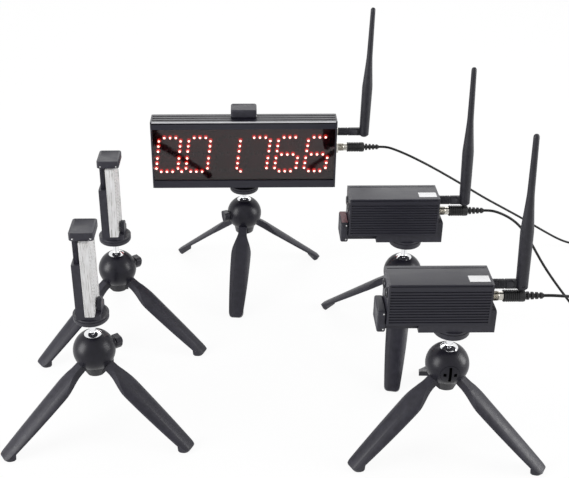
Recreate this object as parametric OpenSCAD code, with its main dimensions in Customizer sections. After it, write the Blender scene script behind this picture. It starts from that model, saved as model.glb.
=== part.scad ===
// Laser sprint timer: a display, two laser gates and two reflectors.
// Each unit stands on its own mini tripod with a ball head and a sprung clamp.
// Millimetres, +Z up. The display faces -Y, the laser gates look along -X at the reflectors.

/* [Layout] */
// Place of the display's tripod axis on the floor
display_place = [-26, 164.5]; // [-400:0.5:400]
// Place of the rear laser's tripod axis
laser_rear_place = [159.5, 12]; // [-400:0.5:400]
// Place of the front laser's tripod axis
laser_front_place = [179, -169]; // [-400:0.5:400]
// Place of the rear reflector's tripod axis
reflector_rear_place = [-176, 22.5]; // [-400:0.5:400]
// Place of the front reflector's tripod axis
reflector_front_place = [-181, -142.5]; // [-400:0.5:400]
// Heading of the first leg of each tripod: display, rear laser, front laser, rear and front reflector
leg_heading = [-96, -101, -152, -143, -146]; // [-180:1:180]

/* [Tripod] */
// Diameter of the ball-shaped housing
housing_d = 44; // [42:0.5:50]
// Depth of the round skirt below the housing's centre
skirt_drop = 26.5; // [23.5:0.5:28]
// Radius of the skirt where it meets the housing
skirt_top_r = 16.5; // [14:0.25:18]
// Radius of the skirt's bottom edge
skirt_bottom_r = 11.5; // [9.5:0.25:12]
// Distance of a leg's hinge from the tripod axis
hinge_reach = 12.5; // [11.5:0.25:13.5]
// Depth of the leg hinges below the housing's centre
hinge_drop = 12.5; // [11:0.25:13]
// Length of a leg from its hinge to its toe
leg_length = 126; // [100:1:150]
// Slope of a spread leg below the horizontal
leg_slope = 38.5; // [32:0.5:44]
// Slope of a folded leg
leg_fold_slope = 80; // [72:0.5:84]
// Width of a leg at its neck
leg_neck_w = 10; // [8:0.2:10.4]
// Greatest width of a leg
leg_wide_w = 25.3; // [18:0.1:27]
// Width of a leg at its foot
leg_foot_w = 16.6; // [12:0.1:20]
// Thickness of a leg
leg_t = 7.6; // [6:0.2:8.4]
// Length of the flat pad under a foot
foot_pad = 8; // [4:0.5:20]
// Radius of a leg's hinge trunnion
trunnion_r = 2; // [1.5:0.1:2.6]
// Diameter of the lock knob over its lobes
knob_d = 15.5; // [10:0.5:17]
// Thickness of the lock knob
knob_t = 7; // [5:0.5:10]
// Radius of the lock knob's screw
knob_screw_r = 2.5; // [1.5:0.1:3]

/* [Ball head] */
// Diameter of the chromed ball
ball_d = 28; // [25:0.5:31]
// Diameter of the housing's opening around the ball
opening_d = 19.2; // [17:0.2:22]
// Diameter of the stud on the ball
stud_d = 6.6; // [5:0.2:8]
// Height of the platform above the housing on the lasers and reflectors
neck_rise = 16; // [14:0.5:24]
// Height of the platform above the housing on the display
display_neck_rise = 11.5; // [10:0.5:24]
// Diameter of the platform under the clamp
platform_d = 37; // [28:0.5:44]
// Thickness of the platform under the display and the reflectors
platform_t = 8; // [4:0.5:10]
// Thickness of the platform under a laser
laser_platform_t = 9.5; // [6:0.5:12]

/* [Clamp] */
// Width of the clamp
clamp_w = 32; // [28:0.5:40]
// Thickness of the clamp's back
spine_t = 9.5; // [9:0.25:12]
// Reach of the jaws in front of the back
jaw_reach = 15; // [13:0.5:22]
// Thickness of the fixed jaw
fixed_jaw_t = 6; // [5:0.5:10]
// Thickness of the moving jaw on the display
display_jaw_t = 12; // [8:0.5:16]
// Thickness of the moving jaw on the lasers and the reflectors
moving_jaw_t = 8.5; // [7:0.5:14]
// Length of the sleeve from its fixed jaw on the display and the lasers
sleeve_length = 68; // [66:0.5:80]
// Length of the sleeve on the reflectors
reflector_sleeve_length = 57.5; // [54:0.5:66]
// Thickness of the slider
slider_t = 5; // [4:0.1:5.4]
// Wall of the sleeve beside the slider
sleeve_wall = 3.7; // [3:0.1:5]
// Radius of the quarter inch camera threads
thread_r = 3.175; // [3:0.025:3.3]
// Distance of the thread in the clamp's back from its fixed jaw
back_thread_offset = 32.5; // [26:0.5:33]
// Height of the tongue on the reflectors' fixed jaws
tongue_h = 11; // [9:0.5:24]
// Width of that tongue
tongue_w = 16; // [10:0.5:24]
// Thickness of that tongue
tongue_t = 4.6; // [3:0.2:4.8]

/* [Display] */
// Width of the display over its end plates
display_w = 230; // [226:1:260]
// Depth of the display case
display_depth = 27; // [25:0.5:36]
// Height of the display case
display_h = 89; // [80:0.5:94]
// Wall of the display case
display_wall = 2; // [1.5:0.1:3]
// Height of the lips above and below the window
lip_h = 9.7; // [6:0.1:12]
// Thickness of the smoked window
window_t = 2.5; // [1.5:0.1:3]
// Thickness of the lamp board
board_t = 1.6; // [1:0.1:2.4]
// Diameter of a lamp
led_d = 3.8; // [3:0.1:4.4]
// Height of a lamp above its board
led_h = 4; // [2:0.1:5]
// Height of a digit between its outer rows of lamps
digit_h = 46; // [40:0.5:60]
// Width of a digit between its columns of lamps, as a share of the distance from digit to digit
digit_share = 0.726; // [0.6:0.002:0.74]
// Sideways lean of the digits per unit of height
digit_lean = 0.127; // [0:0.001:0.14]
// Distance of the digits' middle below the case's middle
digit_drop = 2; // [0:0.5:6]
// Depth of the power jack below the display's top
display_jack_drop = 39.5; // [36:0.5:50]
// Depth of the antenna jack below the display's top
display_sma_drop = 18.5; // [13:0.5:19]

/* [Laser gate] */
// Length of a laser gate over its end plates
laser_length = 100; // [92:1:104]
// Depth of a laser case
laser_depth = 36.5; // [34:0.5:44]
// Height of a laser case
laser_h = 46; // [44:0.5:60]
// Wall of a laser case
laser_wall = 2.5; // [2:0.1:3.5]
// Thickness of the end plates of all cases
plate_t = 2; // [1.6:0.1:3]
// Distance between the grooves on a laser case's sides
groove_pitch = 3.1; // [2.6:0.1:4]
// Depth of the grooves
groove_depth = 0.9; // [0.4:0.1:1.4]
// Radius of the nut on a power jack
jack_nut_r = 7.2; // [6:0.1:7.4]
// Radius of the emitter's and the receiver's barrels
barrel_r = 5; // [3.5:0.25:6]
// Depth of the two barrels below a laser's top
barrel_drop = 14; // [12:0.5:16]

/* [Reflector] */
// Height of a reflector plate
reflector_h = 84; // [80:0.5:92]
// Width of a reflector plate
reflector_w = 40; // [32:0.5:50]
// Thickness of a reflector plate
reflector_t = 9.6; // [7:0.1:9.9]

/* [Antenna] */
// Distance of the display's antenna elbow from the end plate
display_elbow_reach = 34.5; // [30:0.5:42]
// Distance of a laser's antenna elbow from the end plate
laser_elbow_reach = 31; // [30:0.5:42]
// Sideways lean of the whips: display, rear laser, front laser
whip_lean = [1, -2, -2.5]; // [-3:0.5:3]
// Length of a whip above its elbow
whip_length = 156; // [90:1:180]
// Radius of a whip at its elbow
whip_r = 6; // [5.4:0.1:6.5]
// Radius of a whip at its tip
whip_tip_r = 2.8; // [2:0.1:4]
// Radius of the antenna's barrel
barrel_grip_r = 5; // [4.6:0.1:6]
// Thickness of the elbow's tongue
elbow_t = 4; // [3:0.1:4.6]
// Radius of the elbow's pin
elbow_pin_r = 1.5; // [1:0.1:2]

/* [Power lead] */
// Diameter of a power lead
cord_d = 3; // [2.4:0.1:4]
// Length of the power plug's grip
plug_length = 21.5; // [14:0.5:26]
// Radius of the power plug's grip
plug_r = 6; // [5:0.1:6.2]
// Length of the plug's strain relief
relief_length = 18.5; // [10:0.5:24]
// Turns in the coils of the two lasers' leads
laser_coil_turns = 7.25; // [5.25:1:9.25]
// Turns in the coil of the display's lead
display_coil_turns = 6.25; // [4.25:1:8.25]
// Outer radius of the lasers' coils
laser_coil_r = 22; // [21:0.1:28]
// Outer radius of the display's coil
display_coil_r = 20.5; // [19:0.1:26]

/* [Hidden] */

$fn = 48;

// Units by number
DISPLAY = 0;
LASER_REAR = 1;
LASER_FRONT = 2;
REFLECTOR_REAR = 3;
REFLECTOR_FRONT = 4;
ALL_UNITS = [DISPLAY, LASER_REAR, LASER_FRONT, REFLECTOR_REAR, REFLECTOR_FRONT];
POWERED = [DISPLAY, LASER_REAR, LASER_FRONT];
places = [display_place, laser_rear_place, laser_front_place, reflector_rear_place, reflector_front_place];

// Finishes
black_plastic = "#232326";
gloss_black = "#17171a";
dark_grey = "#34343a";
case_black = "#2a2a30";
chrome = "#d9dade";
nickel = "#c6c4ba";
smoked = "#1d1518";
lamp_red = "#e0301c";
board_black = "#1e2a22";
clear_white = "#f0f1f3";

// Clearances
running = 0.05;      // between a pin and its bore
joint_line = 0.05;   // between pieces that are fastened together
slip = 0.3;          // between pieces that pass each other
seat_gap = 0.1;      // between a jaw and what it grips
cut = 1;             // overshoot of a cut beyond a face

// Tripod, worked out upwards from the floor
housing_r = housing_d / 2;
toe_lift = 2.2;
hinge_z = leg_length * sin(leg_slope) + toe_lift;
housing_z = hinge_z + hinge_drop;
knuckle_r = leg_t / 2 + 0.2;
slot_w = leg_neck_w + 2 * slip + 0.4;
trunnion_half = leg_neck_w / 2 + 2.2;
leg_wide_at = 40;
leg_neck_end = 9.5;
leg_taper_bend = 1.75;
leg_steps = 7;
knob_lobes = 7;
knob_boss_r = knob_d / 2 - 0.5;
knob_boss_end = housing_r + 0.5;
knob_start = knob_boss_end + slip;
lock_turn = [-60, 180, 60, 180, 180];    // heading of each lock from its first leg
lock_screw_r = 9.6;
lock_screw_t = 5.4;
coin_slot = [2.8, 17];        // coin slot of the flush lock screw, wide and long
spanner_hole = [3, 3.6];      // its side holes, wide and long
spanner_offset = 5.2;
recess_depth = 4.5;

// Ball head
ball_r = ball_d / 2;
socket_r = ball_r + slip;
rim_r = opening_d / 2;
rim_rise = sqrt(pow(housing_r, 2) - pow(rim_r, 2));
ball_rise = rim_rise - sqrt(pow(socket_r, 2) - pow(rim_r, 2));
ball_z = housing_z + ball_rise;
screw_r = thread_r - 0.15;
screw_length = 5;
platform_taper = 1.5;
function platform_z(u) = housing_z + housing_r + (u == DISPLAY ? display_neck_rise : neck_rise);
function disc_t(u) = is_laser(u) ? laser_platform_t : platform_t;
function seat_z(u) = platform_z(u) + disc_t(u);

// Clamp: height along the jaws' travel is z, reach is x, width is y
slider_w = clamp_w - 2 * sleeve_wall - 2 * slip;
channel_end = back_thread_offset + thread_r + 2.5;
back_thread_depth = spine_t - 1.5;
thread_reach = (jaw_reach - spine_t) / 2;
jaw_round = 3;
tail_room = 2;       // between the slider's tail and the bottom of its channel
slider_length = min(display_h, laser_length, reflector_h) - channel_end - tail_room;
function is_laser(u) = u == LASER_REAR || u == LASER_FRONT;
function is_reflector(u) = u == REFLECTOR_REAR || u == REFLECTOR_FRONT;
function sleeve(u) = is_reflector(u) ? reflector_sleeve_length : sleeve_length;
function gap(u) = u == DISPLAY ? display_h : is_laser(u) ? laser_length : reflector_h;
function jaw_t(u) = u == DISPLAY ? display_jaw_t : moving_jaw_t;

// A laser's power jack clears the fixed jaw, and its antenna's elbow clears the power plug
elbow_ball_r = 7;
jack_gap = 0.3;
elbow_gap = 0.7;
laser_jack_drop = laser_h - jaw_reach - jack_nut_r - jack_gap;
laser_sma_drop = laser_jack_drop - plug_r - elbow_ball_r - elbow_gap;

// What the clamps hold, as places in a unit's own axes
laser_x = -laser_length / 2 + back_thread_offset;
laser_bottom = seat_z(LASER_FRONT) + spine_t;
laser_right = laser_x + laser_length / 2;
display_bottom = seat_z(DISPLAY) + fixed_jaw_t;
display_back = thread_reach;
display_front = display_back - display_depth;
reflector_bottom = seat_z(REFLECTOR_FRONT) + fixed_jaw_t;
case_right = [display_w / 2, laser_right, laser_right];
case_top = [display_bottom + display_h, laser_bottom + laser_h, laser_bottom + laser_h];
case_mid_y = [display_front + display_depth / 2, 0, 0];
jack_drop = [display_jack_drop, laser_jack_drop, laser_jack_drop];
sma_drop = [display_sma_drop, laser_sma_drop, laser_sma_drop];
function jack_place(u) = [case_right[u], case_mid_y[u], case_top[u] - jack_drop[u]];
function sma_place(u) = [case_right[u], case_mid_y[u], case_top[u] - sma_drop[u]];

// Display inside
window_gap = 0.3;
window_y = display_front + display_wall;
rib = 1.6;
board_y = window_y + window_t + rib + led_h + 0.8;
plate_screw_r = 2.6;
plate_screw_t = 1.2;
screw_inset = 4.6;
groove_line_w = 1.2;
groove_line_depth = 0.6;
digit_count = 6;
lamp_rows = [18.5, 11.7, 4.7] / 46;    // side lamps above the digit's middle, per unit of its height
lamp_step = 7.2 / 27;                  // lamps along a bar, per unit of the digit's width
digit_shift = -1.5;
lamp_edge = 0.18;                      // between the outermost lamp and its end plate
digit_side = digit_lean * digit_h / 2 + led_d / 2 + abs(digit_shift) + lamp_edge;
digit_pitch = (display_w / 2 - plate_t - digit_side) / ((digit_count - 1 + digit_share) / 2);
digit_w = digit_share * digit_pitch;

// Laser inside
barrel_y = laser_depth / 2 - laser_wall - barrel_r - 2.5;
barrel_length = 22;
barrel_proud = 1.5;
laser_board_lift = 3;
post = [12, 3];              // posts that carry the barrels, long and wide
post_inset = 4;

// Connectors along +X from a case's right end plate
jack_nut_t = 3;
jack_r = 4.9;
jack_length = 9.5;
jack_thread_r = 4.9;
jack_inside = 4;
collar_r = 4.4;
collar_length = 4.5;
relief_start_r = 4;
relief_end_r = 2.6;
relief_start = jack_length + collar_length + plug_length;
relief_end = relief_start + relief_length;
sma_stud_r = 3;
sma_stud_length = 7;
sma_nut_r = 4.6;
sma_nut_t = 2;

// Antenna
base_start = sma_nut_t + slip;
neck = elbow_ball_r + 0.4;
function elbow_reach(u) = u == DISPLAY ? display_elbow_reach : laser_elbow_reach;
elbow_tongue_r = 4.6;
elbow_slot = elbow_t + 2 * slip;
elbow_slot_r = elbow_tongue_r + 2 * slip;
whip_swell_r = whip_r + 0.3;
whip_swell_at = 0.36;
whip_thin_at = 0.64;
whip_thin_r = whip_tip_r + 0.6;

// Power leads: points chosen on the floor's frame, after the first two at the plug
cord_r = cord_d / 2;
coil_pitch = cord_d + 0.6;
coil_rings = 24;
coil_sides = 6;
cord_sides = 8;
cord_steps = 2;
coil_tail = 21;
usb_body = [16, 30, 9];
usb_shell = [12, 18, 4.5];
function exit_point(u) = [places[u].x, places[u].y, 0] + jack_place(u) + [relief_end + lead_gap, 0, 0];
display_route = [
    [164, 154.5, 186], [180, 157, 178], [197, 160.5, 168], [215, 165, 156.5], [233, 170.5, 144],
    [252, 176.5, 130.5], [272, 182.5, 116], [292, 188, 101.5], [312, 194, 88], [332, 200, 74.5],
    [352, 206, 61], [372, 212, 46.5], [392, 219, 32], [409, 225, 20], [425, 231, 10],
    [440, 236, 3.5], [455, 239, 1.5], [468, 240, 1.5]
];
laser_rear_route = [
    [268, 13.5, 167.5], [280, 16, 160], [292, 19, 149], [303, 22, 134.5], [313, 24.5, 118],
    [323, 27, 101.5], [333, 28.5, 86], [344, 30, 70.5], [356, 31, 54.5], [369, 32, 38],
    [382, 33, 22], [395, 34, 9], [408, 34, 2.5], [421, 34, 1.5], [433, 34, 1.5]
];
laser_front_route = [
    [286, -167, 170.5], [297, -163, 167.5], [308, -158.5, 161.5], [318, -154.5, 152], [327, -151.5, 139.5],
    [336, -149, 124.5], [344.5, -147, 108], [353, -145.5, 91.5], [362, -144, 75.5], [371, -143, 60.5],
    [381, -142, 46], [392, -141, 31.5], [404, -140.5, 18], [417, -140, 8], [430, -140, 2.5],
    [442, -140, 1.5], [454, -140, 1.5]
];
routes = [display_route, laser_rear_route, laser_front_route];
coil_turns = [display_coil_turns, laser_coil_turns, laser_coil_turns];
coil_r = [display_coil_r, laser_coil_r, laser_coil_r];
straight_out = [10, 0, 0];
lead_gap = 0.15;     // between a plug's strain relief and its lead

function last(list) = list[len(list) - 1];
function unit(v) = v / norm(v);

// A smooth curve through a route: a uniform cubic B-spline that starts and ends on its end points
function spline_point(q, i, t) =
    (pow(1 - t, 3) * q[i] + (3 * pow(t, 3) - 6 * t * t + 4) * q[i + 1]
     + (-3 * pow(t, 3) + 3 * t * t + 3 * t + 1) * q[i + 2] + pow(t, 3) * q[i + 3]) / 6;
function spline(p, steps) =
    let (n = len(p), q = concat([2 * p[0] - p[1]], p, [2 * p[n - 1] - p[n - 2]]))
    concat([for (i = [0 : n - 2], j = [0 : steps - 1]) spline_point(q, i, j / steps)], [p[n - 1]]);
function cord_points(u) =
    spline(concat([exit_point(u), exit_point(u) + straight_out], routes[u]), cord_steps);

// A coil winds clockwise from the route's end, inwards on the floor, up a layer and outwards again
function coil_centre(u) = last(routes[u]) - [-cord_d, coil_r[u], 0];
function coil_radius(u, turn) =
    let (half = coil_turns[u] / 2)
    coil_r[u] - coil_pitch * (turn < half ? turn : coil_turns[u] - turn);
function coil_lift(u, turn) =
    let (climb = (turn - coil_turns[u] / 2) * 2 + 0.5)
    coil_pitch * max(0, min(1, climb));
function coil_point(u, turn) =
    coil_centre(u) + [coil_radius(u, turn) * sin(360 * turn), coil_radius(u, turn) * cos(360 * turn),
                      coil_lift(u, turn)];
function coil_points(u) =
    let (rings = round(coil_turns[u] * coil_rings), end = coil_point(u, coil_turns[u]))
    concat([last(routes[u])],
           [for (i = [0 : rings]) coil_point(u, i * coil_turns[u] / rings)],
           [end - [0, cord_d, 0], end - [0, coil_tail, 0]]);
function usb_place(u) = last(coil_points(u));
function path_length(p) = len(p) < 2 ? 0 : [for (i = 1, s = 0; i < len(p) + 1;
    s = s + (i < len(p) ? norm(p[i] - p[i - 1]) : 0), i = i + 1) s][len(p) - 1];
function coil_gap(p, skip) =
    min([for (i = [0 : len(p) - 1 - skip], j = [i + skip : len(p) - 1]) norm(p[i] - p[j])]) - cord_d;

for (u = POWERED) {
    lead = path_length(cord_points(u)) + path_length(coil_points(u));
    echo(unit_number = u, lead_length = lead, coil_gap = coil_gap(coil_points(u), coil_rings / 2));
}

// Shared shapes
module at_unit(u) {
    translate([places[u].x, places[u].y, 0]) children();
}

module along_x(length) {
    rotate([90, 0, 90]) linear_extrude(length) children();
}

module rod_x(r, length) {
    rotate([0, 90, 0]) cylinder(r = r, h = length);
}

module rod_y(r, length) {
    rotate([90, 0, 0]) cylinder(r = r, h = length, center = true);
}

module block(size, round) {
    linear_extrude(size.z) difference() {
        square([size.x, size.y], center = true);
        for (sx = [-1, 1], sy = [-1, 1])
            translate([sx * size.x / 2, sy * size.y / 2]) difference() {
                square(2 * round, center = true);
                translate([-sx * round, -sy * round]) circle(round);
            }
    }
}

module swept_tube(points, radius, sides) {
    n = len(points);
    rings = [for (i = [0 : n - 1])
        let (ahead = unit(points[min(i + 1, n - 1)] - points[max(i - 1, 0)]),
             side = unit(cross(ahead, [0, 0, 1])),
             up = cross(side, ahead))
        [for (k = [0 : sides - 1])
            let (turn = 360 * (k + 0.5) / sides)
            points[i] + radius * (cos(turn) * side + sin(turn) * up)]];
    skin = [for (i = [0 : n - 2], k = [0 : sides - 1])
        let (a = i * sides + k, b = i * sides + (k + 1) % sides)
        each [[a, a + sides, b], [b, a + sides, b + sides]]];
    near_cap = [for (k = [1 : sides - 2]) [0, k, k + 1]];
    end = (n - 1) * sides;
    far_cap = [for (k = [1 : sides - 2]) [end, end + k + 1, end + k]];
    polyhedron([for (ring = rings) each ring], concat(skin, near_cap, far_cap));
}

// Tripod pieces, in a unit's own axes
module housing_body() {
    sphere(housing_r);
    translate([0, 0, -skirt_drop])
        cylinder(r1 = skirt_bottom_r, r2 = skirt_top_r, h = skirt_drop - hinge_drop / 2);
}

module leg_slot() {
    reach = housing_r + skirt_drop;
    rise = reach * tan(leg_slope);
    head = knuckle_r + 2 * slip;
    top = head / cos(leg_slope);
    floor_start = -head * [sin(leg_fold_slope), cos(leg_fold_slope)];
    floor_end = floor_start + reach * [cos(leg_fold_slope), -sin(leg_fold_slope)];
    translate([hinge_reach, 0, -hinge_drop]) {
        rotate([90, 0, 0]) linear_extrude(slot_w, center = true) {
            polygon([floor_start, [-head, 0], [0, top], [reach, top - rise], [reach, -reach], floor_end]);
            circle(head);
        }
        rod_y(trunnion_r + running, 2 * (trunnion_half + slip));
    }
}

module housing(u) {
    flush = u == LASER_FRONT;
    translate([0, 0, housing_z]) difference() {
        union() {
            housing_body();
            if (!flush) rotate([0, 0, leg_heading[u] + lock_turn[u]]) rod_x(knob_boss_r, knob_boss_end);
        }
        translate([0, 0, ball_rise]) sphere(socket_r);
        for (k = [0 : 2]) rotate([0, 0, leg_heading[u] + 120 * k]) leg_slot();
        rotate([0, 0, leg_heading[u] + lock_turn[u]]) {
            rod_x(knob_screw_r + running, housing_d);
            if (flush)
                translate([housing_r - lock_screw_t - slip, 0, 0]) rod_x(lock_screw_r + slip, housing_r);
        }
    }
}

module tripod_housings() {
    color(gloss_black) for (u = ALL_UNITS) at_unit(u) housing(u);
}

// Points of a leg's side view, s along the leg from its hinge and n above its middle
function leg_side(s, n) =
    [hinge_reach + s * cos(leg_slope) + n * sin(leg_slope), hinge_z - s * sin(leg_slope) + n * cos(leg_slope)];
function ease(t) = (1 - cos(180 * t)) / 2;
function leg_half(s) =
    let (flare = (s - leg_neck_end) / (leg_wide_at - leg_neck_end),
         taper = (s - leg_wide_at) / (leg_length - leg_wide_at))
    s < leg_neck_end ? leg_neck_w / 2
    : s < leg_wide_at ? leg_neck_w / 2 + (leg_wide_w - leg_neck_w) / 2 * ease(flare)
    : leg_wide_w / 2 - (leg_wide_w - leg_foot_w) / 2 * pow(taper, leg_taper_bend);

module leg_plan() {
    toe = leg_foot_w / 2;
    body_end = leg_length - toe / 2;
    flare = [for (i = [0 : leg_steps]) leg_neck_end + (leg_wide_at - leg_neck_end) * i / leg_steps];
    taper = [for (i = [1 : leg_steps]) leg_wide_at + (body_end - leg_wide_at) * i / leg_steps];
    edge = concat([0], flare, taper);
    polygon(concat([for (s = edge) [s, leg_half(s)]], [[leg_length, toe * 0.55], [leg_length, -toe * 0.55]],
                   [for (i = [len(edge) - 1 : -1 : 0]) [edge[i], -leg_half(edge[i])]]));
}

module leg_profile() {
    half = leg_t / 2;
    toe = leg_side(leg_length, 0);
    arch = 1.8;          // rise of the top at the leg's widest place
    hollow = 1.2;        // rise of the underside there
    nose = [8, 0.2];     // length of the toe's slope and the top's rise where it starts
    tip = [1, 1.6];      // length of the toe's end face and its rise
    heel = [4, 1];       // lean of the step behind the foot's pad and the underside's rise there
    polygon([leg_side(0, half), leg_side(leg_wide_at, half + arch), leg_side(leg_length - nose.x, half + nose.y),
             leg_side(leg_length - tip.x, tip.y), [toe.x, 0],
             [toe.x - foot_pad, 0], leg_side(leg_length - foot_pad - heel.x, heel.y - half),
             leg_side(leg_wide_at, hollow - half), leg_side(leg_neck_end, -half), leg_side(0, -half)]);
}

// The rounded top of a leg, a long rod that sinks towards the foot
module leg_dome() {
    dome_r = 19;
    crown = 6.2;         // height of the rod's top over the hinge
    fall = 1.9;
    translate([0, 0, crown - dome_r]) rotate([0, fall, 0])
        translate([-leg_length / 2, 0, 0]) rod_x(dome_r, 2 * leg_length);
}

module leg(u, k) {
    color(black_plastic) at_unit(u) rotate([0, 0, leg_heading[u] + 120 * k]) {
        intersection() {
            rotate([90, 0, 0]) linear_extrude(leg_wide_w + 2 * cut, center = true) leg_profile();
            translate([hinge_reach, 0, hinge_z]) rotate([0, leg_slope, 0]) intersection() {
                linear_extrude(8 * leg_t, center = true) leg_plan();
                leg_dome();
            }
        }
        translate([hinge_reach, 0, hinge_z]) {
            rod_y(knuckle_r, leg_neck_w);
            rod_y(trunnion_r, 2 * trunnion_half);
        }
    }
}

// Where a lock's screw starts, short of the ball
lock_start = sqrt(pow(ball_r, 2) - pow(ball_rise - knob_screw_r, 2)) + 2 * slip;

module at_lock(u) {
    at_unit(u) translate([0, 0, housing_z]) rotate([0, 0, leg_heading[u] + lock_turn[u]]) children();
}

module lock_knob(u) {
    lobe_r = knob_d / 7;
    color(black_plastic) at_lock(u) {
        translate([lock_start, 0, 0]) rod_x(knob_screw_r, knob_start + knob_t - lock_start);
        translate([knob_start, 0, 0]) along_x(knob_t) {
            circle(knob_d / 2 - lobe_r / 2);
            for (i = [0 : knob_lobes - 1])
                rotate(360 / knob_lobes * i) translate([knob_d / 2 - lobe_r, 0]) circle(lobe_r);
        }
    }
}

// A lock screw that lies flush in the housing's ball, with a coin slot and two spanner holes
module lock_screw(u) {
    color(gloss_black) at_lock(u) difference() {
        union() {
            translate([lock_start, 0, 0]) rod_x(knob_screw_r, housing_r - recess_depth - lock_start);
            intersection() {
                translate([housing_r - lock_screw_t, 0, 0]) rod_x(lock_screw_r, 2 * lock_screw_t);
                rotate([0, 0, 180]) sphere(housing_r);
            }
        }
        translate([housing_r - recess_depth, -coin_slot.x / 2, -coin_slot.y / 2])
            cube([2 * recess_depth, coin_slot.x, coin_slot.y]);
        for (side = [-1, 1])
            translate([housing_r - recess_depth - cut, side * spanner_offset, 0])
                translate([0, -spanner_hole.x / 2, -spanner_hole.y / 2])
                    cube([2 * recess_depth, spanner_hole.x, spanner_hole.y]);
    }
}

module ball_stud(u) {
    at_unit(u) {
        color(chrome) {
            translate([0, 0, ball_z]) sphere(ball_r);
            translate([0, 0, ball_z]) cylinder(d = stud_d, h = platform_z(u) - ball_z);
            translate([0, 0, platform_z(u) - cut]) cylinder(r = screw_r, h = disc_t(u) + screw_length + cut);
        }
        color(black_plastic) translate([0, 0, platform_z(u)]) difference() {
            rotate_extrude()
                polygon([[0, joint_line], [platform_d / 2 - platform_taper, joint_line],
                         [platform_d / 2, platform_taper], [platform_d / 2, disc_t(u)], [0, disc_t(u)]]);
            translate([0, 0, -cut]) cylinder(r = screw_r + joint_line, h = disc_t(u) + 2 * cut);
        }
    }
}

// The clamp's own axes put onto the unit's: upright behind what it holds, or flat under a laser
module in_clamp(u) {
    at_unit(u) {
        if (u == DISPLAY)
            translate([0, display_back, display_bottom]) rotate([0, 0, -90]) children();
        else if (is_laser(u))
            translate([laser_right, 0, laser_bottom]) rotate([0, -90, 0]) children();
        else
            translate([-thread_reach, 0, reflector_bottom]) children();
    }
}

module jaw_block(t) {
    depth = spine_t + jaw_reach;
    translate([jaw_reach - depth / 2, 0, 0]) block([depth, clamp_w, t], jaw_round);
}

module clamp_frame(u) {
    color(dark_grey) in_clamp(u) difference() {
        union() {
            translate([0, 0, -fixed_jaw_t]) jaw_block(fixed_jaw_t);
            translate([-spine_t, -clamp_w / 2 + jaw_round, -fixed_jaw_t])
                cube([spine_t, clamp_w - 2 * jaw_round, fixed_jaw_t]);
            translate([-spine_t, -clamp_w / 2, 0]) cube([spine_t, clamp_w, sleeve(u)]);
            if (is_reflector(u)) translate([jaw_reach - tongue_t, 0, 0]) {
                translate([0, -tongue_w / 2, 0]) cube([tongue_t, tongue_w, tongue_h - tongue_w / 2]);
                translate([0, 0, tongue_h - tongue_w / 2]) rod_x(tongue_w / 2, tongue_t);
            }
        }
        translate([-spine_t / 2 - slider_t / 2 - slip, -slider_w / 2 - slip, channel_end])
            cube([slider_t + 2 * slip, slider_w + 2 * slip, sleeve(u)]);
        translate([thread_reach, 0, -fixed_jaw_t - cut])
            cylinder(r = thread_r, h = fixed_jaw_t + cut + seat_gap);
        translate([-spine_t - cut, 0, back_thread_offset]) rod_x(thread_r, back_thread_depth + cut);
    }
}

module clamp_jaw(u) {
    start = gap(u) + seat_gap;
    color(dark_grey) in_clamp(u) {
        translate([0, 0, start]) jaw_block(jaw_t(u));
        translate([-spine_t / 2 - slider_t / 2, -slider_w / 2, gap(u) - slider_length])
            cube([slider_t, slider_w, slider_length + seat_gap + jaw_t(u) / 2]);
    }
}

// Display pieces
module display_section() {
    inner_h = display_h - 2 * display_wall;
    difference() {
        square([display_depth, display_h]);
        translate([display_wall, display_wall]) square([display_depth - 2 * display_wall, inner_h]);
        translate([-cut, lip_h]) square([display_wall + 2 * cut, display_h - 2 * lip_h]);
        for (share = [1, 2, 3])
            translate([display_depth * share / 4 - groove_line_w / 2, display_h - groove_line_depth])
                square([groove_line_w, groove_line_depth + cut]);
    }
    for (z = [display_wall, display_h - display_wall - rib]) {
        translate([display_wall + window_t + window_gap, z]) square(rib);
        translate([board_y + board_t - display_front, z]) square(rib);
    }
}

module display_case() {
    color(case_black) at_unit(DISPLAY)
        translate([-display_w / 2 + plate_t, display_front, display_bottom])
            along_x(display_w - 2 * plate_t) display_section();
}

// A plate with flush corner screws, and the screws, on its outer face at x = 0
module end_plate(depth, height, holes) {
    spots = [for (y = [screw_inset, depth - screw_inset], z = [screw_inset, height - screw_inset]) [y, z]];
    difference() {
        translate([-plate_t, 0, 0]) cube([plate_t, depth, height]);
        for (s = spots) translate([-plate_screw_t, s.x, s.y]) rod_x(plate_screw_r, plate_screw_t + cut);
        for (h = holes) translate([-plate_t - cut, h.x, h.y]) rod_x(h.z, plate_t + 2 * cut);
    }
    for (s = spots) translate([joint_line - plate_screw_t, s.x, s.y])
        rod_x(plate_screw_r - joint_line, plate_screw_t - joint_line);
}

module connector_plate(u, depth, height) {
    end_plate(depth, height, [[depth / 2, height - jack_drop[u], jack_thread_r + joint_line],
                              [depth / 2, height - sma_drop[u], sma_stud_r + joint_line]]);
}

module display_end_plates() {
    color(case_black) at_unit(DISPLAY) translate([0, display_front, display_bottom]) {
        translate([display_w / 2, 0, 0]) connector_plate(DISPLAY, display_depth, display_h);
        mirror([1, 0, 0]) translate([display_w / 2, 0, 0]) end_plate(display_depth, display_h, []);
    }
}

module display_window() {
    length = display_w - 2 * plate_t;
    color(smoked) at_unit(DISPLAY)
        translate([-length / 2, window_y, display_bottom + display_wall + window_gap])
            cube([length, window_t, display_h - 2 * display_wall - 2 * window_gap]);
}

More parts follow.
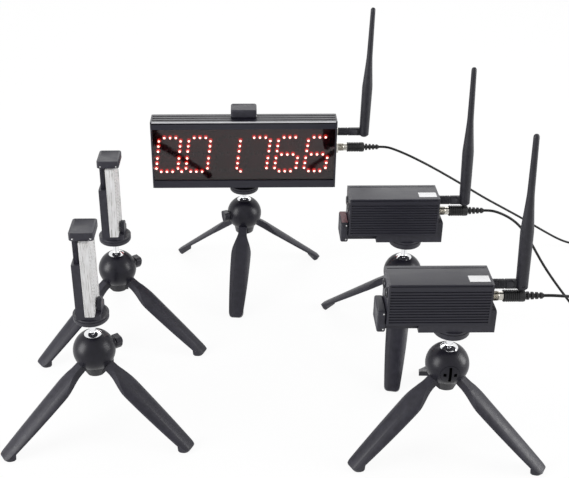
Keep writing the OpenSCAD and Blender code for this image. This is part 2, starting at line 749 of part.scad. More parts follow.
// Lamps of one digit, as x and z from its middle: three bars, two columns and the point
function digit_lamps() =
    let (bar = [for (z = [1, 0, -1], x = [-1, 0, 1]) [x * lamp_step * digit_w, z * digit_h / 2]],
         column = [for (x = [-1, 1], z = lamp_rows, s = [-1, 1]) [x * digit_w / 2, s * z * digit_h]],
         point = [[digit_pitch / 2, -digit_h / 2]])
    [for (p = concat(bar, column, point)) [p.x + digit_lean * p.y, p.y]];

module display_led_board() {
    length = display_w - 2 * plate_t;
    at_unit(DISPLAY) {
        color(board_black) difference() {
            translate([-length / 2, board_y, display_bottom + display_wall + window_gap])
                cube([length, board_t, display_h - 2 * display_wall - 2 * window_gap]);
            translate(jack_place(DISPLAY) - [plate_t + jack_inside + slip, 0, 0]) rod_x(jack_r + slip, length);
        }
        color(lamp_red) for (i = [0 : digit_count - 1], p = digit_lamps())
            translate([digit_shift + digit_pitch * (i - (digit_count - 1) / 2) + p.x, board_y - joint_line,
                       display_bottom + display_h / 2 - digit_drop + p.y])
                rotate([90, 0, 0]) cylinder(d = led_d, h = led_h, $fn = 24);
    }
}

// Laser gate pieces
module laser_section() {
    grooves = floor((laser_h - 2 * groove_pitch) / groove_pitch);
    difference() {
        translate([-laser_depth / 2, 0]) square([laser_depth, laser_h]);
        translate([-laser_depth / 2 + laser_wall, laser_wall])
            square([laser_depth - 2 * laser_wall, laser_h - 2 * laser_wall]);
        for (i = [0 : grooves - 1], side = [-1, 1])
            translate([side * laser_depth / 2, groove_pitch * (i + 1.25)])
                square([2 * groove_depth, groove_pitch / 2], center = true);
        translate([laser_depth / 2 - 4 - groove_line_w, laser_h - groove_line_depth])
            square([groove_line_w, groove_line_depth + cut]);
    }
}

module laser_case(u) {
    color(case_black) at_unit(u)
        translate([laser_right - laser_length + plate_t, 0, laser_bottom])
            along_x(laser_length - 2 * plate_t) laser_section();
}

module laser_end_plates(u) {
    color(dark_grey) at_unit(u) translate([0, -laser_depth / 2, laser_bottom]) {
        translate([laser_right, 0, 0]) connector_plate(u, laser_depth, laser_h);
        translate([laser_right - laser_length, 0, 0]) mirror([1, 0, 0])
            end_plate(laser_depth, laser_h, [for (side = [-1, 1])
                [laser_depth / 2 + side * barrel_y, laser_h - barrel_drop, barrel_r + joint_line]]);
    }
}

// The circuit board and the emitter's and receiver's barrels in the front plate
module laser_module(u) {
    board_z = laser_bottom + laser_wall + laser_board_lift;
    barrel_z = laser_bottom + laser_h - barrel_drop;
    left = laser_right - laser_length;
    at_unit(u) {
        color(nickel) for (side = [-1, 1])
            translate([left - barrel_proud, side * barrel_y, barrel_z]) rod_x(barrel_r, barrel_length);
        color(board_black) {
            translate([left + plate_t, -laser_depth / 2 + laser_wall, board_z])
                cube([laser_length - 2 * plate_t, laser_depth - 2 * laser_wall, board_t]);
            for (side = [-1, 1])
                translate([left + plate_t + post_inset, side * barrel_y - post.y / 2, board_z + board_t])
                    cube([post.x, post.y, barrel_z - barrel_r - joint_line - board_z - board_t]);
        }
    }
}

// Power jack with its plug, and the antenna jack, on a case's right end plate
module power_jack() {
    rod_x(jack_nut_r, jack_nut_t);
    rod_x(jack_r, jack_length);
    translate([-plate_t, 0, 0]) rod_x(jack_thread_r, plate_t);
    translate([-plate_t - jack_inside, 0, 0]) rod_x(jack_r, jack_inside);
}

module power_plug() {
    translate([jack_length + joint_line, 0, 0]) rod_x(collar_r, collar_length);
    translate([jack_length + collar_length, 0, 0]) rod_x(plug_r, plug_length);
    translate([relief_start, 0, 0]) rotate([0, 90, 0])
        cylinder(r1 = relief_start_r, r2 = relief_end_r, h = relief_length);
}

module connectors(u) {
    at_unit(u) {
        color(nickel) translate(jack_place(u)) power_jack();
        color(black_plastic) translate(jack_place(u)) power_plug();
        color(nickel) translate(sma_place(u)) {
            rod_x(sma_nut_r, sma_nut_t);
            translate([-plate_t, 0, 0]) rod_x(sma_stud_r, plate_t + sma_nut_t + sma_stud_length);
        }
    }
}

module antenna_base(u) {
    barrel_end = elbow_reach(u) - neck;
    color(black_plastic) at_unit(u) translate(sma_place(u)) difference() {
        union() {
            translate([base_start, 0, 0]) rod_x(barrel_grip_r, barrel_end - base_start);
            translate([barrel_end - cut, -elbow_t / 2, -elbow_tongue_r])
                cube([neck + cut, elbow_t, 2 * elbow_tongue_r]);
            translate([elbow_reach(u), 0, 0]) {
                rod_y(elbow_tongue_r, elbow_t);
                rod_y(elbow_pin_r, 2 * whip_r - 1);
            }
        }
        translate([base_start - cut, 0, 0]) rod_x(sma_stud_r + running, sma_stud_length + cut);
    }
}

module whip_body() {
    bulge = whip_length * whip_swell_at;
    thin = whip_length * whip_thin_at;
    tip = whip_length - whip_tip_r;
    rotate_extrude()
        polygon([[0, -elbow_ball_r], [whip_r, -elbow_ball_r], [whip_r, 0], [whip_swell_r, bulge],
                 [whip_thin_r, thin], [whip_tip_r, tip], [0, tip]]);
    translate([0, 0, tip]) sphere(whip_tip_r);
}

module antenna_whip(u) {
    far = 2 * elbow_ball_r;
    color(black_plastic) at_unit(u) translate(sma_place(u) + [elbow_reach(u), 0, 0])
    rotate([0, whip_lean[u], 0]) difference() {
        intersection() {
            whip_body();
            union() {
                sphere(elbow_ball_r);
                translate([0, 0, whip_length / 2 + 0.5]) cube([far, far, whip_length + 1], center = true);
            }
        }
        rotate([90, 0, 0]) linear_extrude(elbow_slot, center = true) {
            circle(elbow_slot_r);
            translate([-far, -far]) square([far, far + elbow_slot_r]);
            translate([-far, -far]) square([far + elbow_slot_r, far]);
        }
        rod_y(elbow_pin_r + running, 2 * far);
    }
}

module reflector_plate(u) {
    color(clear_white) at_unit(u)
        translate([-thread_reach, -reflector_w / 2, reflector_bottom])
            cube([reflector_t, reflector_w, reflector_h]);
}

// Power leads
module power_cables() {
    color(gloss_black) for (u = POWERED) swept_tube(cord_points(u), cord_r, cord_sides);
}

module cable_coils() {
    color(gloss_black) for (u = POWERED) swept_tube(coil_points(u), cord_r, coil_sides);
}

module usb_plugs() {
    for (u = POWERED) translate([usb_place(u).x, usb_place(u).y, 0]) {
        color(gloss_black) translate([-usb_body.x / 2, -usb_body.y, 0]) cube(usb_body);
        color(nickel) translate([-usb_shell.x / 2, -usb_body.y - usb_shell.y - joint_line,
                                 (usb_body.z - usb_shell.z) / 2])
            cube(usb_shell);
    }
}

tripod_housings();
power_cables();
cable_coils();
usb_plugs();

leg(DISPLAY, 0);  // display_leg_a
leg(DISPLAY, 1);  // display_leg_b
leg(DISPLAY, 2);  // display_leg_c
lock_knob(DISPLAY);  // display_lock_knob
ball_stud(DISPLAY);  // display_ball_stud
clamp_frame(DISPLAY);  // display_clamp_frame
clamp_jaw(DISPLAY);  // display_clamp_jaw

leg(LASER_REAR, 0);  // laser_rear_leg_a
leg(LASER_REAR, 1);  // laser_rear_leg_b
leg(LASER_REAR, 2);  // laser_rear_leg_c
lock_knob(LASER_REAR);  // laser_rear_lock_knob
ball_stud(LASER_REAR);  // laser_rear_ball_stud
clamp_frame(LASER_REAR);  // laser_rear_clamp_frame
clamp_jaw(LASER_REAR);  // laser_rear_clamp_jaw

leg(LASER_FRONT, 0);  // laser_front_leg_a
leg(LASER_FRONT, 1);  // laser_front_leg_b
leg(LASER_FRONT, 2);  // laser_front_leg_c
lock_screw(LASER_FRONT);  // laser_front_lock_screw
ball_stud(LASER_FRONT);  // laser_front_ball_stud
clamp_frame(LASER_FRONT);  // laser_front_clamp_frame
clamp_jaw(LASER_FRONT);  // laser_front_clamp_jaw

leg(REFLECTOR_REAR, 0);  // reflector_rear_leg_a
leg(REFLECTOR_REAR, 1);  // reflector_rear_leg_b
leg(REFLECTOR_REAR, 2);  // reflector_rear_leg_c
lock_knob(REFLECTOR_REAR);  // reflector_rear_lock_knob
ball_stud(REFLECTOR_REAR);  // reflector_rear_ball_stud
clamp_frame(REFLECTOR_REAR);  // reflector_rear_clamp_frame
clamp_jaw(REFLECTOR_REAR);  // reflector_rear_clamp_jaw

leg(REFLECTOR_FRONT, 0);  // reflector_front_leg_a
leg(REFLECTOR_FRONT, 1);  // reflector_front_leg_b
leg(REFLECTOR_FRONT, 2);  // reflector_front_leg_c
lock_knob(REFLECTOR_FRONT);  // reflector_front_lock_knob
ball_stud(REFLECTOR_FRONT);  // reflector_front_ball_stud
clamp_frame(REFLECTOR_FRONT);  // reflector_front_clamp_frame
clamp_jaw(REFLECTOR_FRONT);  // reflector_front_clamp_jaw

display_case();
display_end_plates();
display_window();
display_led_board();
connectors(DISPLAY);  // display_connectors
antenna_base(DISPLAY);  // display_antenna_base
antenna_whip(DISPLAY);  // display_antenna_whip

laser_case(LASER_REAR);  // laser_rear_case
laser_end_plates(LASER_REAR);  // laser_rear_end_plates
laser_module(LASER_REAR);  // laser_rear_module
connectors(LASER_REAR);  // laser_rear_connectors
antenna_base(LASER_REAR);  // laser_rear_antenna_base
antenna_whip(LASER_REAR);  // laser_rear_antenna_whip

laser_case(LASER_FRONT);  // laser_front_case
laser_end_plates(LASER_FRONT);  // laser_front_end_plates
laser_module(LASER_FRONT);  // laser_front_module
connectors(LASER_FRONT);  // laser_front_connectors
antenna_base(LASER_FRONT);  // laser_front_antenna_base
antenna_whip(LASER_FRONT);  // laser_front_antenna_whip

reflector_plate(REFLECTOR_REAR);  // reflector_rear_plate
reflector_plate(REFLECTOR_FRONT);  // reflector_front_plate
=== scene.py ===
# Laser sprint timer: a lamp display, two laser gates and two reflectors on mini tripods
import bmesh
import bpy
import math
from collections import namedtuple
from mathutils import Euler, Matrix, Vector


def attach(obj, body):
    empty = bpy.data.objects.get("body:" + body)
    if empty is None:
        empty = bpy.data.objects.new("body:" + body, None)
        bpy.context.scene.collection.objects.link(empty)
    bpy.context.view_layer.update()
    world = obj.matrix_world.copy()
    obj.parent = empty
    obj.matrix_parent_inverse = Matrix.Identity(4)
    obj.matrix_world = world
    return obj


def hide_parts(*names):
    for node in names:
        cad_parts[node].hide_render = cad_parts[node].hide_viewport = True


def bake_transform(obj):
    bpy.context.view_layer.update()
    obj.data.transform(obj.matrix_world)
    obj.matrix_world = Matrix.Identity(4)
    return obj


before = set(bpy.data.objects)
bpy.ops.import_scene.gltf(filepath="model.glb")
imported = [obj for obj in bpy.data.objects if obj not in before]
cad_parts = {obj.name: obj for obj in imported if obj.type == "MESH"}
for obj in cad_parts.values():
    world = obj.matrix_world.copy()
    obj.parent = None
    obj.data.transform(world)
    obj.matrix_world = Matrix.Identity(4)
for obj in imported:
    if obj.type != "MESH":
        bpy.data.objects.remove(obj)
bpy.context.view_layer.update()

MM = 0.001
X, Y, Z = 0, 1, 2
UPRIGHT = (0, 0, 0)

# Units: place on the floor, heading of the first leg, turn from that leg to the lock
Unit = namedtuple("Unit", "x y leg_heading lock_turn")
UNITS = {
    "display": Unit(-26, 164.5, -96, -60),
    "laser_rear": Unit(159.5, 12, -101, 180),
    "laser_front": Unit(179, -169, -152, 60),
    "reflector_rear": Unit(-176, 22.5, -143, 180),
    "reflector_front": Unit(-181, -142.5, -146, 180),
}
LASERS = ("laser_rear", "laser_front")
REFLECTORS = ("reflector_rear", "reflector_front")
POWERED = ("display",) + LASERS
FLUSH_LOCK_UNIT = "laser_front"
# The laser whose sprung jaw carries the maroon patch
MAROON_PATCH_UNIT = "laser_rear"


def by_unit(display, lasers, reflectors=None):
    return {"display": display, **dict.fromkeys(LASERS, lasers), **dict.fromkeys(REFLECTORS, reflectors)}


def stand(unit, at=(0, 0, 0)):
    return UNITS[unit].x + at[X], UNITS[unit].y + at[Y], at[Z]


# Tripod heights and sizes, in millimetres
HINGE_Z = 80.637
HINGE_REACH = 12.5
HINGE_DROP = 12.5
HOUSING_Z = HINGE_Z + HINGE_DROP
HOUSING_R = 22
BALL_Z = HOUSING_Z + 9.196
BALL_R = 14
KNOB_START = 22.8
KNOB_T = 7
LOCK_SCREW_R = 9.6
LOCK_SCREW_SEAT = 16.6
LOCK_SCREW_FLOOR = 16.7
LOCK_SHANK_R = 2.5
PLATFORM_T = by_unit(8, 9.5, 8)
NECK_RISE = by_unit(11.5, 16, 16)
NECK_TOP = {unit: HOUSING_Z + HOUSING_R + rise for unit, rise in NECK_RISE.items()}

# Legs: slopes in degrees, half widths and heights over the hinge's axis along the length
LEG_SLOPE = 38.5
FOLD_SLOPE = 80
LEG_LENGTH = 126
LEG_NECK_END = 9.5
LEG_WIDE_AT = 40
LEG_NECK_HALF = 5.0
LEG_WIDE_HALF = 12.65
LEG_FOOT_HALF = 8.3
LEG_TAPER = 1.75
LEG_TIP = {120.5: 8.75, 122.5: 8.3, 124.2: 7.4, 125.3: 6.2, LEG_LENGTH: 4.6}
LEG_TOP = [(0, 3.8), (LEG_WIDE_AT, 5.6), (118, 4.0), (125, 1.6), (LEG_LENGTH, 0.4)]
LEG_BOTTOM = [(0, -3.8), (LEG_NECK_END, -3.8), (LEG_WIDE_AT, -2.6), (114, -2.8), (118, -7.2),
              (LEG_LENGTH, -7.2)]
LEG_CROWN = 6.2
LEG_DOME_R = 19
LEG_DOME_FALL = 1.9
TRUNNION_R = 2
TRUNNION_HALF = 7.2
FLOOR_GAP = 0.1

# Clamp sizes and the places of what the clamps hold
SPINE_T = 9.5
JAW_REACH = 15
SEAT_X = (JAW_REACH - SPINE_T) / 2
CLAMP_HALF = 16
CLAMP_CORNER = 3
FIXED_JAW_T = 6
THREAD_R = 3.175
BACK_THREAD = 32.5
CHANNEL_END = 38.175
SLIDER_LENGTH = 43.825
SLIDER_BACK = -7.25
SLIDER_FRONT = -2.25
SLIDER_HALF = 12
SLIDE_GAP = 0.3
JAW_GAP = 0.1
SLEEVE_LENGTH = by_unit(68, 68, 57.5)
GAP = by_unit(89, 100, 84)
JAW_T = by_unit(10.6, 8.5, 8.5)
JAW_EDGE = by_unit(1.9, 1.9, 1.1)
DISPLAY_BOTTOM = NECK_TOP["display"] + PLATFORM_T["display"] + FIXED_JAW_T
LASER_BOTTOM = NECK_TOP["laser_front"] + PLATFORM_T["laser_front"] + SPINE_T
REFLECTOR_BOTTOM = NECK_TOP["reflector_front"] + PLATFORM_T["reflector_front"] + FIXED_JAW_T
CLAMP_AT = by_unit((0, SEAT_X, DISPLAY_BOTTOM), (BACK_THREAD, 0, LASER_BOTTOM),
                   (-SEAT_X, 0, REFLECTOR_BOTTOM))
CLAMP_TURN = by_unit((0, 0, -90), (0, -90, 0), UPRIGHT)

# Cases in a unit's own axes, with what their end plates carry
Case = namedtuple("Case", "left right front back bottom top")
DISPLAY_CASE = Case(-115, 115, -24.25, SEAT_X, DISPLAY_BOTTOM, DISPLAY_BOTTOM + GAP["display"])
LASER_CASE = Case(BACK_THREAD - GAP["laser_front"], BACK_THREAD, -18.25, 18.25, LASER_BOTTOM,
                  LASER_BOTTOM + 46)
PLATE_T = 2
SCREW_INSET = 4.6
JACK_HOLE_R = 4.9
ANTENNA_HOLE_R = 3.0
OPTIC_HOLE_R = 5.0
OPTICS = {"emitter": -8.25, "receiver": 8.25}
OPTIC_Z = LASER_CASE.top - 14
DISPLAY_JACK_Y = (DISPLAY_CASE.front + DISPLAY_CASE.back) / 2
JACK = by_unit((DISPLAY_CASE.right, DISPLAY_JACK_Y, DISPLAY_BOTTOM + 49.5),
               (BACK_THREAD, 0, LASER_BOTTOM + 22.5))
ANTENNA = by_unit((DISPLAY_CASE.right, DISPLAY_JACK_Y, DISPLAY_BOTTOM + 70.5),
                  (BACK_THREAD, 0, LASER_BOTTOM + 36.2))
ELBOW_REACH = by_unit(34.5, 31)
WHIP_LEAN = {"display": 1, "laser_rear": -2, "laser_front": -2.5}
RELIEF_END = 54

# Power leads: routes in the floor's frame after the first two points at the plug
LEAD_D = 3
LEAD_GAP = 0.15
LEAD_STRAIGHT = Vector((10, 0, 0))
ROUTES = {
    "display": [
        (164, 154.5, 186), (180, 157, 178), (197, 160.5, 168), (215, 165, 156.5), (233, 170.5, 144),
        (252, 176.5, 130.5), (272, 182.5, 116), (292, 188, 101.5), (312, 194, 88), (332, 200, 74.5),
        (352, 206, 61), (372, 212, 46.5), (392, 219, 32), (409, 225, 20), (425, 231, 10),
        (440, 236, 3.5), (455, 239, 1.5), (468, 240, 1.5)],
    "laser_rear": [
        (268, 13.5, 167.5), (280, 16, 160), (292, 19, 149), (303, 22, 134.5), (313, 24.5, 118),
        (323, 27, 101.5), (333, 28.5, 86), (344, 30, 70.5), (356, 31, 54.5), (369, 32, 38),
        (382, 33, 22), (395, 34, 9), (408, 34, 2.5), (421, 34, 1.5), (433, 34, 1.5)],
    "laser_front": [
        (286, -167, 170.5), (297, -163, 167.5), (308, -158.5, 161.5), (318, -154.5, 152),
        (327, -151.5, 139.5), (336, -149, 124.5), (344.5, -147, 108), (353, -145.5, 91.5),
        (362, -144, 75.5), (371, -143, 60.5), (381, -142, 46), (392, -141, 31.5), (404, -140.5, 18),
        (417, -140, 8), (430, -140, 2.5), (442, -140, 1.5), (454, -140, 1.5)],
}
LEAD_STEPS = 5

# Coils of spare lead: turns and outer radius
COILS = by_unit((6.25, 20.5), (7.25, 22))
COIL_PITCH = 3.6
COIL_TAIL = 21
COIL_RINGS = 32
TIE_COIL_R = 22

# USB plugs: half width, length and height of the grip and of the metal shell
USB_GRIP = (8, 30, 9)
USB_NECK = 4
USB_SHELL = (6, 18, 4.5)
USB_SEAM = 0.05

# Digits of the display, in axes with x along the case and z up
DIGIT_PITCH = 37.2
DIGIT_SHIFT = -1.5
DIGIT_H = 46
DIGIT_W = 27
DIGIT_LEAN = 0.127
DIGIT_MIDDLE = DISPLAY_BOTTOM + 42.5
BAR_LAMPS = (-7.2, 0, 7.2)
COLUMN_LAMPS = (18.5, 11.7, 4.7)
BARS = {"top": DIGIT_H / 2, "mid": 0, "low": -DIGIT_H / 2}
COLUMNS = {"left_up": (-1, 1), "left_down": (-1, -1), "right_up": (1, 1), "right_down": (1, -1)}
DIGITS = [
    ("top", "low", "left_up", "left_down", "right_up", "right_down", "point"),
    ("top", "low", "left_up", "left_down", "right_up", "right_down"),
    ("right_up", "right_down", "point"),
    ("top", "right_up", "right_down"),
    ("top", "mid", "low", "left_up", "left_down", "right_down"),
    ("top", "mid", "low", "left_up", "left_down", "right_down"),
]

# Display case: walls, pane, board and grooves; a lip groove has a low drop, a high drop and a depth
DISPLAY_WALL = 2
PANE_T = 2.5
PANE_GAP = 0.02
PANE_MARGIN = 2.3
BOARD_T = 1.6
BOARD_Y = DISPLAY_CASE.front + DISPLAY_WALL + PANE_T + 6.4
LAMP_SINK = 0.05
LIP_FRAME = 9.7
LIP_ROUND = 1.3
LIP_GROOVE = (2.7, 1.4, 1.2)
TOP_GROOVES = [DISPLAY_CASE.front + (DISPLAY_CASE.back - DISPLAY_CASE.front) * n / 4 for n in (1, 2, 3)]
TOP_GROOVE_HALF = 1.1
TOP_GROOVE_DEPTH = 1.2

# Laser cases: ribs on front and back, one line on top, a label
LABEL_X = (-22.5, -2.8)
LABEL_Y = (-12.4, -1.2)
RIB_PITCH = 3.1
RIB_COUNT = 12
RIB_FIRST = 1.25
RIB_DEPTH = 0.9
TOP_LINE_INSET = 4.6
TOP_LINE_HALF = 0.6
TOP_LINE_DEPTH = 0.6
LASER_WALL = 1.4
LASER_LIP_ROUND = 0.7
LASER_LIP_GROOVE = (2.4, 1.3, 0.9)

# Reflector plates: box, rim and prism cells
REFLECTOR_HALF = 20
REFLECTOR_FRONT = 6.85
RIM_W = 1.5
RIM_SLOPE = 0.3
RIM_DEPTH = 0.9
CELLS_ACROSS = 9
CELLS_UP = 20
CELL_RISE = 0.8

# Camera at the photograph's place, in metres and degrees
CAMERA_AT = (-0.0224, -0.9727, 0.6799)
CAMERA_PITCH = 28.27
CAMERA_ROLL = -0.27
CAMERA_LENS = 61.73
CAMERA_SHIFT = (0.0656, -0.0178)
SENSOR_WIDTH = 36
CLIP_END = 20

# Studio: strengths, and the soft boxes' places and sizes in metres with their power
WORLD_LIGHT = 0.55
FLOOR_SIZE = 12
FLOOR_WHITE = 0.92
BOX_AIM = Vector((0, 0, 0.1))
SOFT_BOXES = {
    "left_box": ((-1.5, -0.65, 0.6), (0.8, 1.1), 27),
    "right_box": ((1.6, -0.2, 0.55), (0.7, 1.1), 22),
    "back_box": ((0, 1.7, 1.3), (2.2, 0.9), 15),
}

# How squarely a face has to look along an axis to be chosen, and how near its place has to be
FACING = 0.9
NEAR = 0.1
NEAR_LINE = 0.4

# Finishes: where tones and roughness start and end in the noise, and its detail
TONE_STOPS = (0.32, 0.68)
DRIFT_RANGE = (0.3, 0.7)
PATCH_DETAIL = 4.0
GRAIN_DETAIL = 2.0
GRAIN_STRENGTH = 0.35
PLASTIC_IOR = 1.49


# Camera
def set_camera():
    lens = bpy.data.cameras.new("photo_camera")
    lens.sensor_width = SENSOR_WIDTH
    lens.lens = CAMERA_LENS
    lens.shift_x, lens.shift_y = CAMERA_SHIFT
    lens.clip_end = CLIP_END
    camera = bpy.data.objects.new("photo_camera", lens)
    bpy.context.scene.collection.objects.link(camera)
    camera.location = CAMERA_AT
    pitch = Matrix.Rotation(math.radians(90 - CAMERA_PITCH), 4, "X")
    roll = Matrix.Rotation(math.radians(CAMERA_ROLL), 4, "Z")
    camera.rotation_euler = (pitch @ roll).to_euler()
    bpy.context.scene.camera = camera


# Handling of pieces
def take(piece):
    bpy.ops.object.select_all(action="DESELECT")
    piece.select_set(True)
    bpy.context.view_layer.objects.active = piece


def apply_place():
    bpy.ops.object.transform_apply(location=True, rotation=True, scale=True)


def settle(name):
    piece = bpy.context.object
    piece.name = name
    piece.data.name = name
    apply_place()
    return piece


def place(piece, at=(0, 0, 0), turn=UPRIGHT):
    piece.rotation_euler = [math.radians(a) for a in turn]
    piece.location = [c * MM for c in at]
    take(piece)
    apply_place()
    return piece


def twin(piece, name, at=(0, 0, 0), turn=UPRIGHT):
    copy = piece.copy()
    copy.data = piece.data.copy()
    copy.name = name
    copy.data.name = name
    bpy.context.scene.collection.objects.link(copy)
    turned_to = Euler([math.radians(a) for a in turn]).to_matrix().to_4x4()
    copy.matrix_world = Matrix.Translation(Vector(at) * MM) @ turned_to
    take(copy)
    apply_place()
    return copy


def drop(*pieces):
    for piece in pieces:
        bpy.data.objects.remove(piece)


def joined(name, pieces):
    take(pieces[0])
    for piece in pieces:
        piece.select_set(True)
    bpy.ops.object.join()
    pieces[0].name = name
    pieces[0].data.name = name
    return pieces[0]


def modify(piece, kind, **settings):
    take(piece)
    modifier = piece.modifiers.new(kind.lower(), kind)
    for key, value in settings.items():
        setattr(modifier, key, value)
    bpy.ops.object.modifier_apply(modifier=modifier.name)


def smooth(piece, angle=35):
    take(piece)
    bpy.ops.object.shade_smooth_by_angle(angle=math.radians(angle))


def soften(piece, width, segments=3, angle=40):
    smooth(piece, angle)
    modify(piece, "BEVEL", width=width * MM, segments=segments, limit_method="ANGLE",
           angle_limit=math.radians(angle), harden_normals=True)


def combine(piece, operation, others):
    for other in others:
        modify(piece, "BOOLEAN", operation=operation, solver="EXACT", object=other)
        drop(other)


def carve(piece, *cutters):
    combine(piece, "DIFFERENCE", cutters)


def weld(piece, *others):
    combine(piece, "UNION", others)


# Work in edit mode, sizes in millimetres
def open_piece(piece):
    take(piece)
    bpy.ops.object.mode_set(mode="EDIT")


def close_piece():
    bpy.ops.object.mode_set(mode="OBJECT")


def choose_all():
    bpy.ops.mesh.select_all(action="SELECT")


def choose(piece, kind, wanted):
    bpy.ops.mesh.select_mode(type=kind)
    bpy.ops.mesh.select_all(action="DESELECT")
    work = bmesh.from_edit_mesh(piece.data)
    parts = {"FACE": work.faces, "EDGE": work.edges, "VERT": work.verts}[kind]
    for part in parts:
        if wanted(part):
            part.select_set(True)
    bmesh.update_edit_mesh(piece.data)


def middle(part):
    return sum((v.co for v in part.verts), Vector()) / len(part.verts) / MM


def looks(face, x=0, y=0, z=0):
    return face.normal.dot(Vector((x, y, z))) > FACING


def pull(x, y, z):
    bpy.ops.mesh.extrude_region_move(TRANSFORM_OT_translate={"value": (x * MM, y * MM, z * MM)})


def stretch(factors, centre):
    bpy.ops.transform.resize(value=factors, center_override=[c * MM for c in centre])


def inset(width, depth=0, **settings):
    bpy.ops.mesh.inset(thickness=width * MM, depth=depth * MM, **settings)


def bevel(width, segments, **settings):
    bpy.ops.mesh.bevel(offset=width * MM, segments=segments, **settings)


def split(point, normal, **settings):
    bpy.ops.mesh.bisect(plane_co=[c * MM for c in point], plane_no=normal, **settings)


def split_all(point, normal, **settings):
    choose_all()
    split(point, normal, **settings)


def across(axis, distance):
    point, normal = [0, 0, 0], [0, 0, 0]
    point[axis] = distance
    normal[axis] = 1
    return point, normal


def split_lines(axis, lines, half):
    for line in lines:
        for edge in (-half, half):
            split_all(*across(axis, line + edge))


def near_lines(distance, lines):
    return min(abs(distance - line) for line in lines) < NEAR_LINE


def face_outwards():
    choose_all()
    bpy.ops.mesh.normals_make_consistent(inside=False)


# Basic shapes, sizes in millimetres
def slab(name, low, high):
    bpy.ops.object.select_all(action="DESELECT")
    at = [(a + b) / 2 * MM for a, b in zip(low, high)]
    size = [(b - a) * MM for a, b in zip(low, high)]
    bpy.ops.mesh.primitive_cube_add(size=1, location=at, scale=size)
    return settle(name)


def turned(name, rings, sides=48, close=True):
    bpy.ops.object.select_all(action="DESELECT")
    height, radius = rings[0]
    bpy.ops.mesh.primitive_circle_add(vertices=sides, radius=radius * MM, location=(0, 0, height * MM))
    piece = settle(name)
    open_piece(piece)
    bpy.ops.mesh.select_mode(type="EDGE")
    choose_all()
    if close:
        bpy.ops.mesh.edge_face_add()
        bpy.ops.mesh.select_mode(type="EDGE")
    for next_height, next_radius in rings[1:]:
        pull(0, 0, next_height - height)
        if next_radius != radius:
            grow = next_radius / radius
            stretch((grow, grow, 1), (0, 0, next_height))
        height, radius = next_height, next_radius
    face_outwards()
    close_piece()
    return piece


def lay_along_x(piece, at=(0, 0, 0)):
    return place(piece, at, (0, 90, 0))


def rod_x(name, radius, start, end, y=0, z=0, sides=48):
    return lay_along_x(turned(name, [(start, radius), (end, radius)], sides), (0, y, z))


def rod_y(name, radius, x, z, start, end, sides=24):
    return place(turned(name, [(start, radius), (end, radius)], sides), (x, 0, z), (-90, 0, 0))


def arc(radius, start, end, steps):
    turns = [math.radians(start + (end - start) * i / steps) for i in range(steps + 1)]
    return [(radius * math.sin(a), radius * math.cos(a)) for a in turns]


def between(s, points):
    for (near, low), (far, high) in zip(points, points[1:]):
        if s <= far:
            return low + (high - low) * (s - near) / (far - near)
    return points[-1][1]


# Finishes: patches and grain in millimetres, roughness as a range
def finish_start(name):
    material = bpy.data.materials.new(name)
    material.use_nodes = True
    tree = material.node_tree
    place_node = tree.nodes.new("ShaderNodeTexCoord")
    return material, tree, tree.nodes["Principled BSDF"], place_node.outputs["Object"]


def patches(tree, place_at, size, detail, stretch_by=None):
    if stretch_by:
        mapping = tree.nodes.new("ShaderNodeMapping")
        mapping.inputs["Scale"].default_value = stretch_by
        tree.links.new(place_at, mapping.inputs["Vector"])
        place_at = mapping.outputs["Vector"]
    noise = tree.nodes.new("ShaderNodeTexNoise")
    noise.inputs["Scale"].default_value = 1 / (size * MM)
    noise.inputs["Detail"].default_value = detail
    tree.links.new(place_at, noise.inputs["Vector"])
    return noise.outputs["Fac"]


def toned(tree, drift, dark, light):
    ramp = tree.nodes.new("ShaderNodeValToRGB")
    for stop, position, colour in zip(ramp.color_ramp.elements, TONE_STOPS, (dark, light)):
        stop.position = position
        stop.color = (*colour, 1)
    tree.links.new(drift, ramp.inputs["Fac"])
    return ramp.outputs["Color"]


def spread(tree, drift, low, high):
    span = tree.nodes.new("ShaderNodeMapRange")
    for key, value in zip(("From Min", "From Max", "To Min", "To Max"), (*DRIFT_RANGE, low, high)):
        span.inputs[key].default_value = value
    tree.links.new(drift, span.inputs["Value"])
    return span.outputs["Result"]


def tint(tree, shader, drift, dark, light, rough):
    colour = toned(tree, drift, dark, light)
    tree.links.new(colour, shader.inputs["Base Color"])
    tree.links.new(spread(tree, drift, *rough), shader.inputs["Roughness"])
    return colour


def add_grain(tree, height, shader, strength, depth):
    bump = tree.nodes.new("ShaderNodeBump")
    bump.inputs["Strength"].default_value = strength
    bump.inputs["Distance"].default_value = depth * MM
    tree.links.new(height, bump.inputs["Height"])
    tree.links.new(bump.outputs["Normal"], shader.inputs["Normal"])


def surface(name, dark, light, patch, rough, grain, stretch_by=None, **sockets):
    material, tree, shader, place_at = finish_start(name)
    tint(tree, shader, patches(tree, place_at, patch, PATCH_DETAIL, stretch_by), dark, light, rough)
    grain_size, grain_depth = grain
    height = patches(tree, place_at, grain_size, GRAIN_DETAIL, stretch_by)
    add_grain(tree, height, shader, GRAIN_STRENGTH, grain_depth)
    for key, value in sockets.items():
        shader.inputs[key.replace("_", " ")].default_value = value
    return material


def smoked_window():
    material, tree, shader, place_at = finish_start("smoked_window")
    drift = patches(tree, place_at, size=40, detail=2.0)
    tint(tree, shader, drift, (0.24, 0.16, 0.18), (0.28, 0.185, 0.205), (0.02, 0.05))
    shader.inputs["Transmission Weight"].default_value = 1.0
    shader.inputs["IOR"].default_value = PLASTIC_IOR
    return material


def lamp_glow(name, deep, pale, strength):
    material, tree, shader, place_at = finish_start(name)
    colour = tint(tree, shader, patches(tree, place_at, size=4, detail=1.0), deep, pale, (0.2, 0.35))
    tree.links.new(colour, shader.inputs["Emission Color"])
    shader.inputs["Emission Strength"].default_value = strength
    return material


